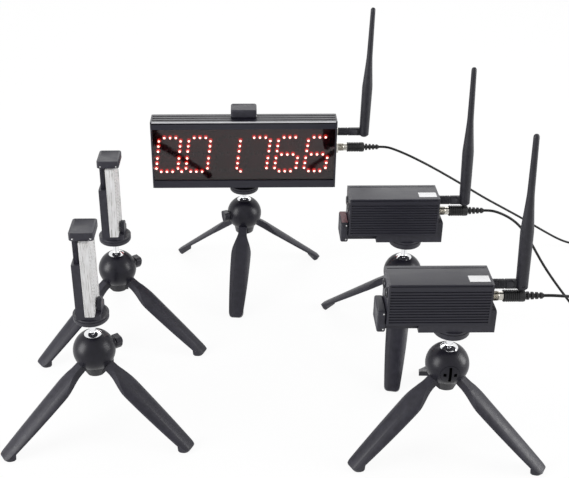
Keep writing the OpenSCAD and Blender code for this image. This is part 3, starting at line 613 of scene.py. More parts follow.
def prism_plastic():
    material, tree, shader, place_at = finish_start("prism_plastic")
    drift = patches(tree, place_at, size=1.4, detail=3.0, stretch_by=(1, 1, 0.07))
    tint(tree, shader, drift, (0.55, 0.54, 0.53), (0.8, 0.8, 0.81), (0.22, 0.4))
    shader.inputs["Transmission Weight"].default_value = 0.3
    shader.inputs["IOR"].default_value = PLASTIC_IOR
    height = patches(tree, place_at, size=0.9, detail=GRAIN_DETAIL, stretch_by=(1, 1, 0.12))
    add_grain(tree, height, shader, strength=0.3, depth=0.06)
    return material


def make_finishes():
    return {
        "housing": surface("gloss_black_housing", (0.005, 0.0047, 0.0085), (0.0085, 0.008, 0.0135), patch=9,
                           rough=(0.32, 0.4), grain=(0.5, 0.01), Specular_IOR_Level=0.22, Coat_Weight=0.08,
                           Coat_Roughness=0.25),
        "leg": surface("satin_black_leg", (0.011, 0.0105, 0.0165), (0.018, 0.0172, 0.026), patch=6,
                       rough=(0.36, 0.5), grain=(0.35, 0.03), Specular_IOR_Level=0.3),
        "chrome": surface("polished_chrome", (0.84, 0.85, 0.87), (0.92, 0.92, 0.93), patch=4,
                          rough=(0.03, 0.08), grain=(0.6, 0.002), Metallic=1.0),
        "platform": surface("platform_black", (0.012, 0.0115, 0.0175), (0.019, 0.0183, 0.027), patch=4,
                            rough=(0.4, 0.55), grain=(0.3, 0.03), Specular_IOR_Level=0.36),
        "clamp": surface("soft_grey_clamp", (0.015, 0.0145, 0.021), (0.024, 0.0233, 0.033), patch=5,
                         rough=(0.42, 0.56), grain=(0.28, 0.03), Specular_IOR_Level=0.35),
        # A maroon colour for the patch on one laser's jaw end
        "maroon_patch": surface("maroon_jaw_patch", (0.085, 0.012, 0.02), (0.115, 0.018, 0.028), patch=3,
                        rough=(0.35, 0.48), grain=(0.3, 0.01), Specular_IOR_Level=0.36),
        "case": surface("anodised_case", (0.0095, 0.0092, 0.0155), (0.016, 0.0155, 0.025), patch=1.2,
                        rough=(0.32, 0.46), grain=(0.25, 0.012), stretch_by=(0.06, 1, 1),
                        Specular_IOR_Level=0.35),
        "plate": surface("anodised_plate", (0.011, 0.0106, 0.017), (0.018, 0.0174, 0.0265), patch=2,
                         rough=(0.36, 0.5), grain=(0.3, 0.015), Specular_IOR_Level=0.4),
        "screw": surface("black_screw", (0.04, 0.04, 0.045), (0.08, 0.08, 0.085), patch=0.8,
                         rough=(0.25, 0.4), grain=(0.2, 0.006), Metallic=0.8),
        "pin": surface("steel_pin", (0.5, 0.5, 0.5), (0.62, 0.62, 0.62), patch=0.8,
                       rough=(0.2, 0.32), grain=(0.2, 0.004), Metallic=1.0),
        "nickel": surface("nickel_plate", (0.44, 0.42, 0.38), (0.6, 0.58, 0.53), patch=1.5,
                          rough=(0.16, 0.3), grain=(0.3, 0.006), Metallic=1.0),
        "antenna": surface("antenna_rubber", (0.009, 0.0087, 0.013), (0.015, 0.0146, 0.0205), patch=5,
                           rough=(0.4, 0.54), grain=(0.3, 0.025), Specular_IOR_Level=0.34),
        "plug": surface("plug_black", (0.008, 0.008, 0.009), (0.014, 0.014, 0.015), patch=2,
                        rough=(0.34, 0.48), grain=(0.25, 0.02), Specular_IOR_Level=0.34),
        "lead": surface("lead_sheath", (0.003, 0.003, 0.0034), (0.006, 0.006, 0.0066), patch=6,
                        rough=(0.4, 0.5), grain=(0.4, 0.015), Specular_IOR_Level=0.16),
        "tie": surface("hook_tie", (0.02, 0.02, 0.022), (0.045, 0.045, 0.048), patch=0.5,
                       rough=(0.75, 0.9), grain=(0.25, 0.12)),
        "board": surface("lamp_board", (0.09, 0.008, 0.016), (0.15, 0.012, 0.024), patch=3,
                         rough=(0.4, 0.55), grain=(0.4, 0.02)),
        "label": surface("blank_label", (0.78, 0.78, 0.79), (0.85, 0.85, 0.86), patch=2,
                         rough=(0.45, 0.6), grain=(0.25, 0.01)),
        "optic": surface("optic_glass", (0.03, 0.006, 0.008), (0.05, 0.012, 0.014), patch=2,
                         rough=(0.05, 0.12), grain=(0.4, 0.003), Coat_Weight=0.6, Coat_Roughness=0.05),
        "circuit": surface("circuit_green", (0.012, 0.05, 0.022), (0.02, 0.075, 0.032), patch=3,
                           rough=(0.35, 0.5), grain=(0.4, 0.03)),
        "window": smoked_window(),
        "lit": lamp_glow("lamp_lit", (1.0, 0.03, 0.012), (1.0, 0.05, 0.02), 1.35),
        "core": lamp_glow("lamp_core", (1.0, 0.66, 0.5), (1.0, 0.76, 0.6), 17),
        # Painted highlight: a lighter metallic grey for the front-up faces of the case's rounded top-front
        # edge, standing in for the bright line of light along it
        "lip": surface("painted_lip_highlight", (0.42, 0.42, 0.44), (0.55, 0.55, 0.57), patch=1.2,
                       rough=(0.28, 0.4), grain=(0.25, 0.006), stretch_by=(0.06, 1, 1), Metallic=0.7),
        # Painted shade: near-black for the insides of grooves and of the coin screw's slot and holes, where
        # shade falls
        "painted_shade": surface("painted_hollow_shade", (0.0012, 0.0012, 0.0014), (0.002, 0.002, 0.0022), patch=1,
                          rough=(0.8, 0.95), grain=(0.3, 0.01), Specular_IOR_Level=0.05),
        "unlit": surface("lamp_unlit", (0.05, 0.018, 0.017), (0.075, 0.026, 0.024), patch=3,
                         rough=(0.25, 0.4), grain=(0.5, 0.01)),
        "prism": prism_plastic(),
    }


def dress(piece, body, finish, slot, *nodes):
    piece.data.materials.clear()
    piece.data.materials.append(FINISHES[finish])
    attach(piece, body)
    if nodes:
        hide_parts(*nodes)


def fit(model, name, at, body, finish, slot, *nodes, turn=UPRIGHT):
    piece = twin(model, name, at, turn)
    dress(piece, body, finish, slot, *nodes)
    return piece


# Power leads, their coils, ties and USB plugs
def smooth_route(points):
    spots = [Vector(p) for p in points]
    spots = [2 * spots[0] - spots[1]] + spots + [2 * spots[-1] - spots[-2]]
    path = []
    for i in range(len(spots) - 3):
        a, b, c, d = spots[i:i + 4]
        for step in range(LEAD_STEPS):
            t = step / LEAD_STEPS
            path.append(((1 - t) ** 3 * a + (3 * t ** 3 - 6 * t * t + 4) * b
                         + (-3 * t ** 3 + 3 * t * t + 3 * t + 1) * c + t ** 3 * d) / 6)
    return path + [Vector(points[-1])]


def coil_path(start, turns, radius):
    centre = Vector(start) + Vector((LEAD_D, -radius, 0))
    half = turns / 2
    path = []
    for i in range(round(turns * COIL_RINGS) + 1):
        turn = i / COIL_RINGS
        r = radius - COIL_PITCH * (turn if turn < half else turns - turn)
        lift = COIL_PITCH * max(0, min(1, (turn - half) * 2 + 0.5))
        angle = 2 * math.pi * turn
        path.append(centre + Vector((r * math.sin(angle), r * math.cos(angle), lift)))
    end = path[-1]
    return path + [end - Vector((0, LEAD_D, 0)), end - Vector((0, COIL_TAIL, 0))], centre


def lead_exit(unit):
    x, y, z = stand(unit, JACK[unit])
    return Vector((x + RELIEF_END + LEAD_GAP, y, z))


def lead_tube(name, path):
    shape = bpy.data.curves.new(name, "CURVE")
    shape.dimensions = "3D"
    line = shape.splines.new("POLY")
    line.points.add(len(path) - 1)
    for point, spot in zip(line.points, path):
        point.co = (*(spot * MM), 1)
    shape.bevel_depth = LEAD_D / 2 * MM
    shape.bevel_resolution = 4
    shape.use_fill_caps = True
    tube = bpy.data.objects.new(name, shape)
    bpy.context.scene.collection.objects.link(tube)
    take(tube)
    bpy.ops.object.convert(target="MESH")
    tube = bpy.context.object
    open_piece(tube)
    choose_all()
    bpy.ops.mesh.remove_doubles(threshold=0.01 * MM)
    face_outwards()
    close_piece()
    smooth(tube, 60)
    return tube


def usb_grip():
    half, length, height = USB_GRIP
    body = slab("usb_grip", (-half, -length, 0), (half, 0, height))
    open_piece(body)
    choose(body, "FACE", lambda f: looks(f, y=1))
    pull(0, USB_NECK, 0)
    stretch((0.45, 1, 0.55), (0, USB_NECK, height / 2))
    choose(body, "FACE", lambda f: abs(f.normal.x) > FACING and middle(f).y < 0)
    inset(width=2.2, depth=-0.6, use_individual=True)
    close_piece()
    soften(body, 1.2)
    return body


def usb_shell():
    half, length, height = USB_SHELL
    start = -USB_GRIP[1] - USB_SEAM
    low = (USB_GRIP[2] - height) / 2
    shell = slab("usb_shell", (-half, start - length, low), (half, start, low + height))
    open_piece(shell)
    choose(shell, "FACE", lambda f: looks(f, y=-1))
    sheet, mouth_depth = 0.4, 12
    inset(sheet)
    pull(0, mouth_depth, 0)
    close_piece()
    carve(shell, *[slab("latch", (x - 1.2, -42, 6.2), (x + 1.2, -39.6, 7.5)) for x in (-2.8, 2.8)])
    soften(shell, 0.25, 2)
    return shell


def coil_tie():
    half, inner, outer, height, thick = 3.5, 6, 25, 8, 0.7
    band = slab("coil_tie", (-half, inner, 0), (half, outer, height))
    open_piece(band)
    choose(band, "FACE", lambda f: abs(f.normal.x) > FACING)
    inset(thick, use_individual=True)
    bpy.ops.mesh.bridge_edge_loops()
    close_piece()
    soften(band, 0.35, 2)
    return band


def make_leads():
    grip, shell, band = usb_grip(), usb_shell(), coil_tie()
    for unit in POWERED:
        start = lead_exit(unit)
        route = [start, start + LEAD_STRAIGHT] + [Vector(p) for p in ROUTES[unit]]
        coil, centre = coil_path(ROUTES[unit][-1], *COILS[unit])
        path = smooth_route(route) + coil
        lead = lead_tube(unit + "_power_lead", path)
        usb_at = (coil[-1].x, coil[-1].y, 0)
        tie_at = (centre.x, centre.y + COILS[unit][1] - TIE_COIL_R, 0)
        lead.data.materials.append(FINISHES["lead"])
        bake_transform(lead)
        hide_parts("power_cables", "cable_coils")
        plug = fit(grip, unit + "_usb_grip", usb_at, "root", "plug", "lead_black", "usb_plugs")
        mouth = fit(shell, unit + "_usb_shell", usb_at, "root", "nickel", "nickel", "usb_plugs")
        tie = fit(band, unit + "_coil_tie", tie_at, "root", "tie", "lead_black")
    drop(grip, shell, band)


# Tripod pieces
def leg_slot(heading):
    head, half, far, above = 4.6, 5.5, 70, 10
    slope, fold = math.radians(LEG_SLOPE), math.radians(FOLD_SLOPE)
    top = head / math.cos(slope)
    slot = slab("leg_slot", (HINGE_REACH - head, -half, -far), (far, half, above))
    open_piece(slot)
    roof = (HINGE_REACH, 0, top - HINGE_DROP)
    inward = Vector((-math.sin(fold), 0, -math.cos(fold)))
    floor = Vector((HINGE_REACH, 0, -HINGE_DROP)) + head * inward
    upward = (math.sin(slope), 0, math.cos(slope))
    for point, normal in ((roof, upward), (roof, (-top, 0, head)), (floor, inward)):
        split_all(point, normal, use_fill=True, clear_outer=True)
    close_piece()
    placed = twin(slot, "leg_slot_cut", turn=(0, 0, heading))
    drop(slot)
    return placed


def housing(flush):
    skirt = [(-26.5, 10.4), (-26.35, 11.1), (-25.8, 11.6), (-17.6, 13.35)]
    ball = arc(HOUSING_R, -52, 63.8, 26)
    socket = [(19.95, 9.35), (19.5, 9.6), (18.6, 10.6), (16.5, 12.3), (13, 13.8), (9.2, 14.3),
              (4.5, 13.5), (0, 11), (-3.6, 6.5), (-5, 1)]
    shell = turned("housing", skirt + ball + socket, 64)
    cuts = [leg_slot(heading) for heading in (180, 60, -60)]
    if flush:
        cuts.append(rod_x("lock_hole", LOCK_SCREW_R + 0.3, LOCK_SCREW_SEAT - 0.3, 30))
    else:
        boss = [(12, 7.25), (21.8, 7.25), (22.3, 7.05), (22.5, 6.6)]
        weld(shell, lay_along_x(turned("boss", boss, 40)))
    carve(shell, *cuts)
    soften(shell, 0.35, 2, 32)
    return shell


def lock_knob():
    lobes, radius, waist, lobe_round = 7, 8.2, 0.78, 1.35
    rim, dish_slope, dish_depth = 1.2, 0.8, 0.9
    bpy.ops.object.select_all(action="DESELECT")
    bpy.ops.mesh.primitive_circle_add(vertices=2 * lobes, radius=radius * MM, fill_type="NGON")
    knob = settle("lock_knob")
    open_piece(knob)
    step = 180 / lobes
    choose(knob, "VERT", lambda v: round(math.degrees(math.atan2(v.co.y, v.co.x)) / step) % 2 == 0)
    stretch((waist, waist, 1), (0, 0, 0))
    choose_all()
    bevel(lobe_round, 5, affect="VERTICES")
    choose_all()
    pull(0, 0, KNOB_T)
    inset(rim)
    inset(dish_slope, -dish_depth)
    face_outwards()
    close_piece()
    soften(knob, 0.5, 2, 50)
    weld(knob, turned("screw", [(-9.9, LOCK_SHANK_R), (0.5, LOCK_SHANK_R)], 24))
    return lay_along_x(knob, (KNOB_START, 0, 0))


def lock_screw():
    far = 30
    slot_half, slot_reach, slot_floor = 1.4, 8.5, 17.5
    hole_at, hole_y, hole_z = 5.2, 1.5, 1.8
    shank = [(12.9, LOCK_SHANK_R), (LOCK_SCREW_SEAT, LOCK_SHANK_R), (LOCK_SCREW_SEAT, LOCK_SCREW_R)]
    dome = [(math.sqrt(HOUSING_R ** 2 - r * r), r) for r in (LOCK_SCREW_R, 9, 8, 6.5, 5, 3.4, 1.8, 0.6)]
    head = lay_along_x(turned("lock_screw", shank + dome, 56))
    cuts = [slab("coin_slot", (slot_floor, -slot_half, -slot_reach), (far, slot_half, slot_reach))]
    for y in (-hole_at, hole_at):
        cuts.append(slab("spanner_hole", (LOCK_SCREW_FLOOR, y - hole_y, -hole_z), (far, y + hole_y, hole_z)))
    carve(head, *cuts)
    soften(head, 0.25, 2, 32)
    return head


# Painted shade on the sunk faces of the coin screw's slot and spanner holes
def paint_sunk_shade(screw, at, turn):
    screw.data.materials.append(FINISHES["painted_shade"])
    back = Matrix.Rotation(-math.radians(turn), 3, "Z")
    for face in screw.data.polygons:
        spot = back @ (face.center / MM - Vector(at))
        sunk = spot.length < HOUSING_R - 0.35 and spot.x > LOCK_SCREW_FLOOR
        if sunk and math.hypot(spot.y, spot.z) < LOCK_SCREW_R - 0.8:
            face.material_index = 1


def leg_half(s):
    if s < LEG_NECK_END:
        return LEG_NECK_HALF
    if s < LEG_WIDE_AT:
        share = (s - LEG_NECK_END) / (LEG_WIDE_AT - LEG_NECK_END)
        return LEG_NECK_HALF + (LEG_WIDE_HALF - LEG_NECK_HALF) * (1 - math.cos(math.pi * share)) / 2
    if s in LEG_TIP:
        return LEG_TIP[s]
    share = (s - LEG_WIDE_AT) / (LEG_LENGTH - LEG_WIDE_AT)
    return LEG_WIDE_HALF - (LEG_WIDE_HALF - LEG_FOOT_HALF) * share ** LEG_TAPER


def folding_leg():
    knuckle = [(-4.0, LEG_NECK_HALF, -0.9, 0.9), (-3.4, LEG_NECK_HALF, -2.1, 2.1),
               (-2.2, LEG_NECK_HALF, -3.3, 3.3)]
    steps = list(range(0, 112, 4)) + [111, 114, 118] + list(LEG_TIP)
    rows = knuckle + [(s, leg_half(s), between(s, LEG_BOTTOM), between(s, LEG_TOP)) for s in steps]
    s, half, low, high = rows[0]
    leg = slab("leg", (s - 0.2, -half, low), (s, half, high))
    open_piece(leg)
    choose(leg, "FACE", lambda f: looks(f, x=1))
    for next_s, next_half, next_low, next_high in rows[1:]:
        pull(next_s - s, 0, ((next_low + next_high) - (low + high)) / 2)
        grow = (1, next_half / half, (next_high - next_low) / (high - low))
        stretch(grow, (next_s, 0, (next_low + next_high) / 2))
        s, half, low, high = next_s, next_half, next_low, next_high
    face_outwards()
    close_piece()
    dome = rod_x("leg_dome", LEG_DOME_R, -60, 180, sides=144)
    combine(leg, "INTERSECT", [place(dome, (0, 0, LEG_CROWN - LEG_DOME_R), (0, LEG_DOME_FALL, 0))])
    weld(leg, rod_y("trunnion", TRUNNION_R, 0, 0, -TRUNNION_HALF, TRUNNION_HALF))
    place(leg, (HINGE_REACH, 0, HINGE_Z), (0, LEG_SLOPE, 0))
    open_piece(leg)
    split_all((0, 0, FLOOR_GAP), (0, 0, 1), use_fill=True, clear_inner=True)
    close_piece()
    soften(leg, 0.45, 2, 32)
    return leg


def ball_and_stud(rise):
    neck = [(BALL_R, 3.32), (BALL_R + 1, 3.3), (rise - 2.6, 3.3), (rise - 1.6, 3.6), (rise - 0.9, 4.6),
            (rise, 4.6), (rise, 3.0), (rise + 13, 3.0)]
    piece = turned("ball_stud", arc(BALL_R, -86, 75, 32) + neck, 48)
    smooth(piece, 40)
    return piece


def platform(top):
    rings = [(0.05, 5.2), (0.05, 16.4), (0.35, 17.2), (1.2, 18.0), (1.9, 18.25), (top - 3.0, 18.3),
             (top - 2.7, 17.7), (top - 2.2, 17.7), (top - 1.9, 18.4), (top - 0.6, 18.45), (top - 0.2, 18.2),
             (top, 17.6), (top, 15.8), (top - 0.15, 15.6), (top - 0.15, 4), (top, 3.8), (top, 3.2)]
    disc = turned("platform", rings, 64, close=False)
    smooth(disc, 32)
    return disc


def make_tripods():
    shell, flush_shell = housing(False), housing(True)
    knob, screw, leg = lock_knob(), lock_screw(), folding_leg()
    discs = {thick: platform(thick) for thick in set(PLATFORM_T.values())}
    for unit, spot in UNITS.items():
        at, heading = stand(unit, (0, 0, HOUSING_Z)), spot.leg_heading + spot.lock_turn
        turn = (0, 0, heading)
        flush = unit == FLUSH_LOCK_UNIT
        fit(flush_shell if flush else shell, unit + "_housing", at, "root", "housing", "housing_black",
            "tripod_housings", turn=turn)
        if flush:
            lock = fit(screw, unit + "_coin_screw", at, unit + "_lock", "housing", "leg_black",
                       unit + "_lock_screw", turn=turn)
            paint_sunk_shade(lock, at, heading)
        else:
            fit(knob, unit + "_knob", at, unit + "_lock", "leg", "leg_black", unit + "_lock_knob", turn=turn)
        for i, letter in enumerate("abc"):
            body = f"{unit}_leg_{letter}"
            fit(leg, f"{unit}_folding_leg_{letter}", stand(unit), body, "leg", "leg_black", body,
                turn=(0, 0, spot.leg_heading + 120 * i))
        stud = ball_and_stud(NECK_TOP[unit] - BALL_Z)
        head, node = unit + "_head", unit + "_ball_stud"
        fit(stud, unit + "_chrome_ball", stand(unit, (0, 0, BALL_Z)), head, "chrome", "ball_chrome", node)
        drop(stud)
        seat_at = stand(unit, (0, 0, NECK_TOP[unit]))
        fit(discs[PLATFORM_T[unit]], unit + "_platform", seat_at, head, "platform", "leg_black", node)
    drop(shell, flush_shell, knob, screw, leg, *discs.values())


# Clamps, in axes with x along the reach, y across and z along the jaws' travel
def clamp_frame(sleeve, tongue):
    piece = slab("clamp_frame", (-SPINE_T, -CLAMP_HALF, -FIXED_JAW_T), (JAW_REACH, CLAMP_HALF, 0))
    open_piece(piece)
    split_all(*across(X, 0))
    choose(piece, "FACE", lambda f: looks(f, z=1) and middle(f).x < 0)
    pull(0, 0, sleeve)
    choose(piece, "EDGE", lambda e: abs(middle(e).x - JAW_REACH) < NEAR
           and abs(abs(middle(e).y) - CLAMP_HALF) < NEAR)
    bevel(CLAMP_CORNER, 5)
    choose(piece, "FACE", lambda f: looks(f, x=-1) and middle(f).z > 1)
    inset(width=2.4, depth=-0.5)
    close_piece()
    channel = slab("channel", (SLIDER_BACK - SLIDE_GAP, -SLIDER_HALF - SLIDE_GAP, CHANNEL_END),
                   (SLIDER_FRONT + SLIDE_GAP, SLIDER_HALF + SLIDE_GAP, 90))
    seat_thread = place(turned("seat_thread", [(-9, THREAD_R), (0.02, THREAD_R)], 32), (SEAT_X, 0, 0))
    back_thread = rod_x("back_thread", THREAD_R, -12, -1.5, 0, BACK_THREAD, 32)
    carve(piece, channel, seat_thread, back_thread)
    if tongue:
        start, half, rise = 10.4, 8, 3
        flap = slab("tongue", (start, -half, -1), (JAW_REACH, half, rise))
        weld(flap, rod_x("tongue_tip", half, start, JAW_REACH, 0, rise))
        weld(piece, flap)
    soften(piece, 0.8, 3, 40)
    return piece


def clamp_jaw(gap, thick, edge):
    start = gap + JAW_GAP
    piece = slab("clamp_jaw", (-SPINE_T, -CLAMP_HALF, start), (JAW_REACH, CLAMP_HALF, start + thick))
    open_piece(piece)
    choose(piece, "EDGE", lambda e: abs(abs(middle(e).y) - CLAMP_HALF) < NEAR
           and abs(middle(e).z - start - thick / 2) < NEAR)
    bevel(CLAMP_CORNER, 5)
    choose(piece, "FACE", lambda f: looks(f, z=1))
    inset(width=2.2)
    inset(width=0.5, depth=-0.35)
    close_piece()
    slider = slab("slider", (SLIDER_BACK, -SLIDER_HALF, gap - SLIDER_LENGTH),
                  (SLIDER_FRONT, SLIDER_HALF, start + 2))
    soften(piece, edge, 4, 40)
    soften(slider, 0.5, 2)
    weld(piece, slider)
    return piece


def jaw_pins(gap):
    half, radius, rise = CLAMP_HALF + 0.25, 0.9, 2.6
    pins = joined("jaw_pins", [rod_y("jaw_pin", radius, x, gap + rise, -half, half) for x in (-5.5, 12)])
    soften(pins, 0.2, 2)
    return pins


# A thin maroon patch over the end face of the sprung jaw
def maroon_jaw_patch(gap):
    start, half, sunk, proud = gap + JAW_GAP, 13.6, 0.02, 0.18
    maroon_patch = slab("maroon_jaw_patch", (JAW_REACH - sunk, -half, start + 0.8), (JAW_REACH + proud, half, start + 7.7))
    soften(maroon_patch, 0.06, 1)
    return maroon_patch


def make_clamps():
    for unit in UNITS:
        at, turn = stand(unit, CLAMP_AT[unit]), CLAMP_TURN[unit]
        head, slide = unit + "_head", unit + "_jaw"
        body = clamp_frame(SLEEVE_LENGTH[unit], unit in REFLECTORS)
        jaw = clamp_jaw(GAP[unit], JAW_T[unit], JAW_EDGE[unit])
        pins = jaw_pins(GAP[unit])
        fit(body, unit + "_clamp_body", at, head, "clamp", "clamp_grey", unit + "_clamp_frame", turn=turn)
        fit(jaw, unit + "_sprung_jaw", at, slide, "clamp", "clamp_grey", unit + "_clamp_jaw", turn=turn)
        fit(pins, unit + "_jaw_pins", at, slide, "pin", "nickel", turn=turn)
        if unit == MAROON_PATCH_UNIT:
            maroon_patch = maroon_jaw_patch(GAP[unit])
            fit(maroon_patch, unit + "_maroon_jaw_patch", at, slide, "maroon_patch", "clamp_grey", turn=turn)
            drop(maroon_patch)
        drop(body, jaw, pins)


# Cases of display and lasers
def open_case(name, box):
    case = slab(name, (box.left + PLATE_T, box.front, box.bottom), (box.right - PLATE_T, box.back, box.top))
    open_piece(case)
    return case


def round_lip(case, box, width):
    open_piece(case)
    choose(case, "EDGE", lambda e: abs(middle(e).y - box.front) < 0.02 and abs(middle(e).z - box.top) < 0.02)
    bevel(width, 4)
    close_piece()


def close_case(case, box, wall, groove, lip, edge, **settings):
    choose_all()
    bpy.ops.mesh.dissolve_limited(angle_limit=math.radians(1))
    face_outwards()
    close_piece()
    modify(case, "SOLIDIFY", thickness=wall * MM, offset=-1, **settings)
    low, high, depth = groove
    carve(case, slab("lip_groove", (box.left, box.front - 1, box.top - low),
                     (box.right, box.front + depth, box.top - high)))
    round_lip(case, box, lip)
    soften(case, edge, 2, 40)


# End plates with recessed corner screws
def corner_screw():
    head = turned("corner_screw", [(-1.1, 2.45), (-0.35, 2.45), (-0.15, 2.25), (-0.1, 1.6)], 24)
    half, reach = 0.32, 1.5
    carve(head, *[slab("cross", (-x, -y, -0.8), (x, y, 1)) for x, y in ((half, reach), (reach, half))])
    smooth(head, 35)
    return lay_along_x(head)


def end_plate(box, side, holes):
    outer = box.right if side > 0 else box.left
    low = min(outer, outer - side * PLATE_T)
    plate = slab("plate", (low, box.front, box.bottom), (low + PLATE_T, box.back, box.top))
    spots = [(y, z) for y in (box.front + SCREW_INSET, box.back - SCREW_INSET)
             for z in (box.bottom + SCREW_INSET, box.top - SCREW_INSET)]
    pocket_r, pocket_depth, spare = 2.6, 1.2, 1
    cuts = [rod_x("pocket", pocket_r, outer - pocket_depth, outer + pocket_depth, y, z, 32) for y, z in spots]
    cuts += [rod_x("hole", r, low - spare, low + PLATE_T + spare, y, z, 40) for y, z, r in holes]
    carve(plate, *cuts)
    soften(plate, 0.35, 2, 40)
    return plate, [(outer, y, z) for y, z in spots]


def plates_for(unit, box, left_holes):
    head, node = unit + "_head", unit + "_end_plates"
    right_holes = [(*JACK[unit][Y:], JACK_HOLE_R), (*ANTENNA[unit][Y:], ANTENNA_HOLE_R)]
    screw = corner_screw()
    screws = []
    for side, holes, word, turn in ((-1, left_holes, "left", 180), (1, right_holes, "right", 0)):
        plate, spots = end_plate(box, side, holes)
        fit(plate, f"{unit}_{word}_plate", stand(unit), head, "plate", "plate_dark", node)
        drop(plate)
        screws += [twin(screw, "screw_copy", stand(unit, spot), (0, 0, turn)) for spot in spots]
    dress(joined(unit + "_plate_screws", screws), head, "screw", "nickel", node)
    drop(screw)


# Display
def digit_lamps():
    spots = []
    for name, z in BARS.items():
        spots += [(name, x, z) for x in BAR_LAMPS]
    for name, (side, up) in COLUMNS.items():
        spots += [(name, side * DIGIT_W / 2, up * z) for z in COLUMN_LAMPS]
    spots.append(("point", DIGIT_PITCH / 2, -DIGIT_H / 2))
    return [(name, x + DIGIT_LEAN * z, z) for name, x, z in spots]


def lamp():
    collar = [(0, 2.7), (0.5, 2.6)]
    bulb = [(0.7, 1.7), (2.4, 1.7), (3.3, 1.35), (3.8, 0.75), (3.95, 0.2)]
    piece = place(turned("lamp", collar + bulb, 12), turn=(90, 0, 0))
    smooth(piece, 50)
    return piece


def pale_cores(lamps, front):
    lamps.data.materials.append(FINISHES["core"])
    for face in lamps.data.polygons:
        if face.normal.y < -0.5 and face.center.y < front * MM:
            face.material_index = 1


def display_lamps():
    bulb = lamp()
    groups = {True: [], False: []}
    for i, shown in enumerate(DIGITS):
        centre = DIGIT_SHIFT + DIGIT_PITCH * (i - (len(DIGITS) - 1) / 2)
        for name, dx, dz in digit_lamps():
            spot = stand("display", (centre + dx, BOARD_Y - LAMP_SINK, DIGIT_MIDDLE + dz))
            groups[name in shown].append(twin(bulb, "lamp_copy", spot))
    lit = joined("display_lit_lamps", groups[True])
    dress(lit, "display_head", "lit", "smoked_window", "display_led_board")
    pale_cores(lit, UNITS["display"].y + BOARD_Y - 1.5)
    dress(joined("display_unlit_lamps", groups[False]), "display_head", "unlit", "smoked_window",
          "display_led_board")
    drop(bulb)


def display_case():
    box = DISPLAY_CASE
    case = open_case("display_case_shell", box)
    for z in (box.bottom + LIP_FRAME, box.top - LIP_FRAME):
        split_all(*across(Z, z))
    choose(case, "FACE", lambda f: abs(f.normal.x) > FACING
           or (looks(f, y=-1) and abs(middle(f).z - (box.bottom + box.top) / 2) < 20))
    bpy.ops.mesh.delete(type="FACE")
    split_lines(Y, TOP_GROOVES, TOP_GROOVE_HALF)
    choose(case, "FACE", lambda f: looks(f, z=1) and near_lines(middle(f).y, TOP_GROOVES))
    pull(0, 0, -TOP_GROOVE_DEPTH)
    close_case(case, box, DISPLAY_WALL, LIP_GROOVE, LIP_ROUND, edge=0.3, use_even_offset=True)
    return case


# Paints light and shade on the display case: a painted highlight on the rounded lip's faces that look front
# and up, and painted shade on the faces in the lip groove and the top grooves
def paint_lip_highlight_and_groove_shade(case):
    front, top = UNITS["display"].y + DISPLAY_CASE.front, DISPLAY_CASE.top
    low, high, depth = LIP_GROOVE
    slack = 0.05
    case.data.materials.append(FINISHES["lip"])
    case.data.materials.append(FINISHES["painted_shade"])
    for face in case.data.polygons:
        y, z = (face.center / MM).yz
        rounded = y < front + LIP_ROUND and z > top - high + slack
        sunk = front + slack < y < front + depth + 2 * slack
        lip_groove = sunk and top - low - 2 * slack < z < top - high + slack
        top_groove = y > front + 4 and top - TOP_GROOVE_DEPTH - 0.2 < z < top - 0.2
        # Painted highlight on the front-up lip faces; painted shade in the lip groove and top grooves
        if rounded and face.normal.y < -0.1 and face.normal.z > 0.1:
            face.material_index = 1
        elif lip_groove or top_groove:
            face.material_index = 2


def inner_plate(name, near, far):
    box = DISPLAY_CASE
    return slab(name, (box.left + PLATE_T, near, box.bottom + PANE_MARGIN),
                (box.right - PLATE_T, far, box.top - PANE_MARGIN))


def display_window():
    inside = DISPLAY_CASE.front + DISPLAY_WALL
    pane = inner_plate("display_pane", inside + PANE_GAP, inside + PANE_T)
    soften(pane, 0.2, 2)
    return pane


def lamp_board():
    board = inner_plate("lamp_board_plate", BOARD_Y, BOARD_Y + BOARD_T)
    x, y, z = JACK["display"]
    notch_r, inward, outward = 5.2, 6.5, 5
    carve(board, rod_x("notch", notch_r, x - inward, x + outward, y, z))
    soften(board, 0.15, 1)
    return board


def make_display():
    made = [(display_case(), "display_shell", "case", "case_black", "display_case"),
            (display_window(), "display_smoked_pane", "window", "smoked_window", "display_window"),
            (lamp_board(), "display_lamp_board", "board", "board_green", "display_led_board")]
    for model, name, finish, slot, node in made:
        piece = fit(model, name, stand("display"), "display_head", finish, slot, node)
        drop(model)
        if finish == "case":
            paint_lip_highlight_and_groove_shade(piece)
    display_lamps()
    plates_for("display", DISPLAY_CASE, [])


# Laser gates
def laser_case():
    box = LASER_CASE
    case = open_case("laser_case_shell", box)
    ribs = [box.bottom + RIB_PITCH * (i + RIB_FIRST) for i in range(RIB_COUNT)]
    top_line = [box.back - TOP_LINE_INSET]
    split_lines(Z, ribs, RIB_PITCH / 4)
    split_lines(Y, top_line, TOP_LINE_HALF)
    choose(case, "FACE", lambda f: abs(f.normal.x) > FACING)
    bpy.ops.mesh.delete(type="FACE")
    for side in (-1, 1):
        choose(case, "FACE", lambda f: looks(f, y=side) and near_lines(middle(f).z, ribs))
        pull(0, -side * RIB_DEPTH, 0)
    choose(case, "FACE", lambda f: looks(f, z=1) and near_lines(middle(f).y, top_line))
    pull(0, 0, -TOP_LINE_DEPTH)
    close_case(case, box, LASER_WALL, LASER_LIP_GROOVE, LASER_LIP_ROUND, edge=0.25)
    return case


def laser_label():
    right, top = LASER_CASE.right, LASER_CASE.top
    sunk, proud = 0.02, 0.16
    label = slab("laser_label", (right + LABEL_X[0], LABEL_Y[0], top - sunk),
                 (right + LABEL_X[1], LABEL_Y[1], top + proud))
    soften(label, 0.06, 1)
    return label


